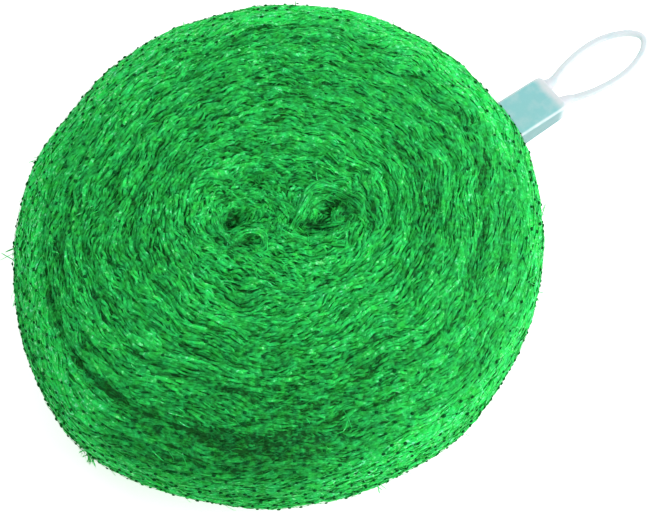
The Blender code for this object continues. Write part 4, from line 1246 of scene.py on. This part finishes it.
def net_threads(turn, along, kept, sizes, colours):
    """Two threads from each kept knot to its neighbours in the next row."""
    stations = 3
    share = np.linspace(0.0, 1.0, stations)
    start_turn, start_along = turn[:-1, :, None], along[:-1, :, None]
    column = np.arange(sizes.net_columns)[None, :] + np.zeros(kept.shape, int)
    odd = (np.arange(len(kept)) + int(NET_FROM / sizes.net_row)) % 2
    rows = np.arange(1, len(turn))[:, None]
    routes = []
    for shift in (0, 1):
        target = (column + odd[:, None] - shift) % sizes.net_columns
        gap = (turn[rows, target][..., None] - start_turn + math.pi) % TAU - math.pi
        climb = along[rows, target][..., None] - start_along
        routes.append(np.stack([start_turn + gap * share, start_along + climb * share], -1)[kept])
    routes = np.concatenate(routes)
    paths = surface(routes[..., 0], routes[..., 1], sizes, THREAD_LIFT, NET_FINE)
    width = THREAD_HALF * np.ones((len(routes), 1, 1))
    points, faces = yarn_arrays(paths, normals_on(routes, sizes), width, width * 1.2, 0.0)
    thread = yarn_material("Net thread", colours, 0.4, 0.25, None, (400.0, 400.0, 400.0), 0.0001)
    thread.node_tree.nodes["Principled BSDF"].inputs["Specular IOR Level"].default_value = 0.02
    piece = mesh_piece("outer_net_threads", points, faces, thread)
    add_map(piece, "OFBake", yarn_map(len(routes), stations, 48))


class OuterNet(bpy.types.Operator):
    """The outermost layer of net drawn tight round the roll, with its knots"""

    bl_idname = "netting.outer_net"
    bl_label = "Outer net"

    def execute(self, context):
        sizes, colours = context.scene.netting_sizes, context.scene.netting_colours
        turn, along, shown = knot_places(sizes)
        rng = np.random.default_rng(KNOT_SEED)
        net_knots(turn, along, shown, sizes, colours, rng)
        kept = shown[:-1] | (rng.random(shown[:-1].shape) < 0.2)
        net_threads(turn, along, kept, sizes, colours)
        return {"FINISHED"}


def gather_surface(turn, along):
    """Points of the pleated neck, at a turn round it and a place along it."""
    table = np.array(GATHER)
    level, wide, tall, pleat = (np.interp(along, table[:, 0], table[:, k]) for k in (1, 2, 3, 4))
    power = 2.0 / 2.6
    side = np.sign(np.cos(turn)) * np.abs(np.cos(turn)) ** power
    rise = np.sign(np.sin(turn)) * np.abs(np.sin(turn)) ** power
    fold = pleat * np.cos(11.0 * turn + 40.0 * along) + 0.3 * pleat * np.cos(29.0 * turn - 90.0 * along)
    y, z = (wide + fold) * side, level + (tall + fold) * rise
    return np.stack([along + 0.0 * turn, y, np.maximum(z, FORM_CLEAR)], -1)


def gathered_neck(colours):
    """The pleated neck as one closed-sided piece."""
    steps, rows = 176, 60
    turn = np.arange(steps) / steps * TAU
    along = np.linspace(GATHER[0][0], GATHER[-1][0], rows)
    turns, alongs = np.meshgrid(turn, along)
    points = gather_surface(turns, alongs).reshape(-1, 3)
    material = yarn_material("Gathered netting", colours, 1.0, 0.3, None, (60.0, 700.0, 700.0), 0.0004)
    piece = mesh_piece("gathered_netting", points, ring_faces(rows, steps), material)
    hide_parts("netting_roll")


def gathered_yarns(sizes, colours, rng):
    """Yarns that run along the neck and into the clip's mouth."""
    count, stations = 1100, 6
    start = rng.uniform(0.098, 0.118, (count, 1))
    share = np.linspace(0.0, 1.0, stations)[None, :]
    reach = rng.uniform(0.008, 0.020, (count, 1))
    turn = rng.random((count, 1)) * TAU + rng.normal(0.0, 0.12, (count, 1)) * share
    along = np.minimum(start + reach * share, 0.1275)
    place = gather_surface(turn, along)
    around = gather_surface(turn + 0.01, along) - place
    onward = gather_surface(turn, along + 0.0005) - place
    normal = unit(np.cross(around, onward))
    height = rng.uniform(0.0, 1.0, (count, 1))
    lift = (0.0008 * height + 0.0002) * np.sin(math.pi * share) ** 0.6 - 0.0002
    # They lie flat where they pass under the clip's rim.
    lift = lift * np.interp(along, (0.118, 0.125), (1.0, 0.1))
    paths = place + normal * lift[..., None]
    paths[..., 2] = np.maximum(paths[..., 2], 0.0004)
    widths = 0.4 * sizes.yarn_width * rng.uniform(0.5, 1.1, count)
    # Painted light on the higher yarns.
    own = 0.35 + 0.4 * height + rng.normal(0, 0.15, (count, 1))
    yarn_piece("gathered_yarns", paths, normal, widths, own, 16, colours, rng)


class GatheredEnd(bpy.types.Operator):
    """The netting's end, gathered into the clip's mouth"""

    bl_idname = "netting.gathered_end"
    bl_label = "Gathered end"

    def execute(self, context):
        gathered_neck(context.scene.netting_colours)
        rng = np.random.default_rng(NECK_SEED)
        gathered_yarns(context.scene.netting_sizes, context.scene.netting_colours, rng)
        return {"FINISHED"}


class LooseEnds(bpy.types.Operator):
    """Short loose ends that stand out from the roll"""

    bl_idname = "netting.loose_ends"
    bl_label = "Loose ends"

    def execute(self, context):
        sizes, colours = context.scene.netting_sizes, context.scene.netting_colours
        rng = np.random.default_rng(ENDS_SEED)
        count, stations = 420, 6
        turn, along = scattered(count, LOOSE_CHANCE, sizes, rng)
        tufts = np.array(TUFTS)
        strands = tufts[:, 2].astype(int)
        tufted = strands.sum()
        tuft_turn = np.radians(np.repeat(tufts[:, 0], strands)) + rng.normal(0.0, 0.014, tufted)
        tuft_along = np.repeat(tufts[:, 1], strands) + rng.normal(0.0, 0.0012, tufted)
        turn, along = np.concatenate([turn, tuft_turn]), np.concatenate([along, tuft_along])
        reach = np.concatenate([rng.uniform(0.0006, 0.0034, count), np.repeat(tufts[:, 3], strands)])
        count = len(turn)
        lengths = rng.uniform(0.003, 0.009, count)
        lengths[-tufted:] *= 0.55
        slants = rng.normal(0.0, 0.9, count)
        routes = yarn_routes(turn, along, lengths, slants, rng.normal(0, 0.8, count), stations, sizes)
        share = np.linspace(0.0, 1.0, stations)[None, :]
        lift = reach[:, None] * rng.uniform(0.6, 1.0, (count, 1)) * share**1.2
        paths = surface(routes[..., 0], routes[..., 1], sizes, lift)
        widths = rng.uniform(0.00010, 0.00022, count)
        widths[-tufted:] *= 1.8
        own = rng.normal(0.8, 0.12, (count, 1))
        yarn_piece("loose_ends", paths, normals_on(routes, sizes), widths, own, 10, colours, rng)
        return {"FINISHED"}


# --- The clip -------------------------------------------------------------------------------------
def rounded_ring(half_width, low, high, corner, steps=5):
    """(across, height) of a rounded rectangle's corners, each in a few steps."""
    ring = []
    mid_high, mid_low = high - corner, low + corner
    centres = (
        (half_width - corner, mid_high, 0.0),
        (-half_width + corner, mid_high, 90.0),
        (-half_width + corner, mid_low, 180.0),
        (half_width - corner, mid_low, 270.0),
    )
    for across, height, start in centres:
        for step in range(steps + 1):
            angle = math.radians(start + 90.0 * step / steps)
            ring.append((across + corner * math.cos(angle), height + corner * math.sin(angle)))
    return ring


def loft(rings):
    """Points and faces through equal rings of points, closed at both ends."""
    count, around = len(rings), len(rings[0])
    points = np.array(rings, float).reshape(-1, 3)
    first_end = np.arange(around)[None, ::-1]
    last_end = (np.arange(around) + (count - 1) * around)[None, :]
    return points, [ring_faces(count, around), first_end, last_end]


def through(points, count):
    """A smooth route through points, with count steps between each two."""
    points = [points[0], *points, points[-1]]
    route = []
    for a, b, c, d in zip(points, points[1:], points[2:], points[3:]):
        for step in range(count):
            t = step / count
            square, cube = 2 * a - 5 * b + 4 * c - d, 3 * b - a - 3 * c + d
            route.append(0.5 * (2 * b + (c - a) * t + square * t**2 + cube * t**3))
    route.append(points[-1])
    return route


def clip_body():
    """The clip's outer skin from its far end to its mouth, then its inner one from there inwards."""
    end, half, tip = CLIP_END, CLIP_HALF, CLIP_TIP

    def top(x):
        return CLIP_ROOT + (tip - CLIP_ROOT) * (x - CLIP_START) / (end - CLIP_START)

    # Each section: place along, half width, low, high, corner.
    sections = [
        (end, half - 0.0024, 0.0006, tip - 0.0006, 0.0009),
        (end - 0.0002, half - 0.0019, 0.0003, tip - 0.0002, 0.0011),
        (end - 0.0007, half - 0.0011, 0.0001, top(end - 0.0007), 0.0013),
        (end - 0.0013, half - 0.0005, 0.0, top(end - 0.0013), 0.0014),
        (end - 0.0023, half - 0.0001, 0.0, top(end - 0.0023), 0.0014),
    ]
    for step in range(1, 12):
        x = end - 0.0023 - (end - CLIP_START - 0.0028) * step / 11
        sections.append((x, half, 0.0, top(x), 0.0014))
    sections += [
        (CLIP_START + 0.0001, half - 0.0002, 0.0002, CLIP_ROOT - 0.0002, 0.0013),
        (CLIP_START, half - 0.0006, 0.0006, CLIP_ROOT - 0.0006, 0.0011),
        (CLIP_START, 0.0089, 0.0012, 0.0120, 0.0009),
        (CLIP_START + 0.0004, 0.0085, 0.0016, 0.0116, 0.0008),
        (CLIP_START + 0.0150, 0.0084, 0.0017, 0.0100, 0.0008),
        (CLIP_START + 0.0300, 0.0084, 0.0017, 0.0083, 0.0008),
    ]
    return loft([[(x, y, z) for y, z in rounded_ring(*section)] for x, *section in sections])


def clip_loop():
    """The two lugs and the leaf-shaped loop, as one strand."""
    reach = LOOP_HALF[-1][0]
    left = [Vector((CLIP_END + x, w - 0.0012 * (x / reach) ** 2)) for x, w in LOOP_HALF]
    right = [Vector((CLIP_END + x, -w - 0.0012 * (x / reach) ** 2)) for x, w in reversed(LOOP_HALF[:-1])]
    route = through(left + right, 6)
    places, half_widths, half_heights = LOOP_STRAND
    strand = []
    for index, place in enumerate(route):
        ahead = (route[min(index + 1, len(route) - 1)] - route[max(index - 1, 0)]).normalized()
        aside = Vector((-ahead.y, ahead.x))
        wide = float(np.interp(place.x - CLIP_END, places, half_widths))
        tall = float(np.interp(place.x - CLIP_END, places, half_heights))
        ring = []
        for across, rise in rounded_ring(wide, -tall, tall, min(wide, tall) * 0.82, 4):
            spot = place + aside * across
            ring.append((spot.x, spot.y, LOOP_LEVEL + rise))
        strand.append(ring[::-1])
    return loft(strand)


class HangingClip(bpy.types.Operator):
    """The moulded clip: its hollow body, two lugs and the leaf-shaped loop"""

    bl_idname = "netting.hanging_clip"
    bl_label = "Hanging clip"

    def execute(self, context):
        material = clip_material(context.scene.netting_colours)
        body, body_faces = clip_body()
        strand, strand_faces = clip_loop()
        points = np.concatenate([body, strand])
        shifted = [faces + len(body) for faces in strand_faces]
        piece = mesh_piece("moulded_clip", points, body_faces + shifted, material)
        edges = piece.modifiers.new("Crisp edges", "WEIGHTED_NORMAL")
        edges.keep_sharp = True
        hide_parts("hanging_clip")
        return {"FINISHED"}


# --- Stage ----------------------------------------------------------------------------------------
def pale_floor(side):
    """A plain pale floor of that side, which glows a little so that it stays clear of shadow."""
    mesh = bpy.data.meshes.new("floor")
    half = 0.5 * side
    mesh.from_pydata([(-half, -half, 0), (half, -half, 0), (half, half, 0), (-half, half, 0)], [], [range(4)])
    paper, _, shader = new_material("Pale floor")
    feed({}, shader, {
        "Base Color": (0.80, 0.80, 0.80, 1.0),
        "Roughness": 0.9,
        "Emission Color": (1.0, 1.0, 1.0, 1.0),
        "Emission Strength": 0.60,
    })
    mesh.materials.append(paper)
    floor = bpy.data.objects.new("floor", mesh)
    bpy.context.scene.collection.objects.link(floor)


class StudioStage(bpy.types.Operator):
    """A plain pale floor, soft studio light and the camera"""

    bl_idname = "netting.stage"
    bl_label = "Stage"

    def execute(self, context):
        scene, stage = context.scene, context.scene.netting_stage
        scene.view_settings.view_transform = "Standard"
        pale_floor(stage.floor_size)

        world = bpy.data.worlds.new("Studio")
        world.use_nodes = True
        feed({}, world.node_tree.nodes["Background"], {"Color": (1.0, 1.0, 1.0, 1.0), "Strength": 0.62})
        scene.world = world

        turn, rise = stage.view_bearing, stage.view_height
        right = Vector((math.cos(turn), math.sin(turn), 0.0))
        ahead = Vector((-math.sin(turn), math.cos(turn), 0.0))
        up = Vector((0.0, 0.0, 1.0))

        def placed(to_right, to_front, level):
            return right * to_right + ahead * to_front + up * level

        for name, to_right, to_front, level, size, power in LIGHTS:
            data = bpy.data.lights.new(name, "AREA")
            data.size, data.energy = size, power
            light = bpy.data.objects.new(name, data)
            light.location = placed(to_right, to_front, level)
            light.rotation_euler = (light.location - up * LIT_LEVEL).to_track_quat("Z", "Y").to_euler()
            scene.collection.objects.link(light)

        view = ahead * math.cos(rise) - up * math.sin(rise)
        data = bpy.data.cameras.new("camera")
        data.lens = stage.lens
        camera = bpy.data.objects.new("camera", data)
        eye = Matrix.Translation(placed(*LOOKED_AT) - view * stage.view_distance)
        camera.matrix_world = eye @ Matrix((right, right.cross(view), -view)).transposed().to_4x4()
        scene.collection.objects.link(camera)
        scene.camera = camera
        return {"FINISHED"}


class NettingPanel(bpy.types.Panel):
    """Sizes, colours and pieces of the netting roll"""

    bl_idname = "VIEW3D_PT_netting_roll"
    bl_label = "Netting roll"
    bl_space_type = "VIEW_3D"
    bl_region_type = "UI"
    bl_category = "Netting"

    def draw(self, context):
        scene = context.scene
        for operator in OPERATORS:
            self.layout.operator(operator.bl_idname)
        for group in (scene.netting_sizes, scene.netting_colours, scene.netting_stage):
            box = self.layout.box()
            for name in group.__annotations__:
                box.prop(group, name)


GROUPS = (NettingRollSizes, NettingRollColours, StageSettings)
NETTING = (WoundNetting, BunchedYarns, CoreBundles, OuterNet, GatheredEnd, LooseEnds)
OPERATORS = (*NETTING, HangingClip, StudioStage)


def register():
    for made in (*GROUPS, *OPERATORS, NettingPanel):
        bpy.utils.register_class(made)
    bpy.types.Scene.netting_sizes = bpy.props.PointerProperty(type=NettingRollSizes)
    bpy.types.Scene.netting_colours = bpy.props.PointerProperty(type=NettingRollColours)
    bpy.types.Scene.netting_stage = bpy.props.PointerProperty(type=StageSettings)


def unregister():
    del bpy.types.Scene.netting_sizes
    del bpy.types.Scene.netting_colours
    del bpy.types.Scene.netting_stage
    for made in reversed((*GROUPS, *OPERATORS, NettingPanel)):
        bpy.utils.unregister_class(made)


def main():
    register()
    bpy.ops.netting.wound_netting()
    bpy.ops.netting.bunched_yarns()
    bpy.ops.netting.core_bundles()
    bpy.ops.netting.outer_net()
    bpy.ops.netting.gathered_end()
    bpy.ops.netting.loose_ends()
    bpy.ops.netting.hanging_clip()
    bpy.ops.netting.stage()


if __name__ == "__main__":
    main()
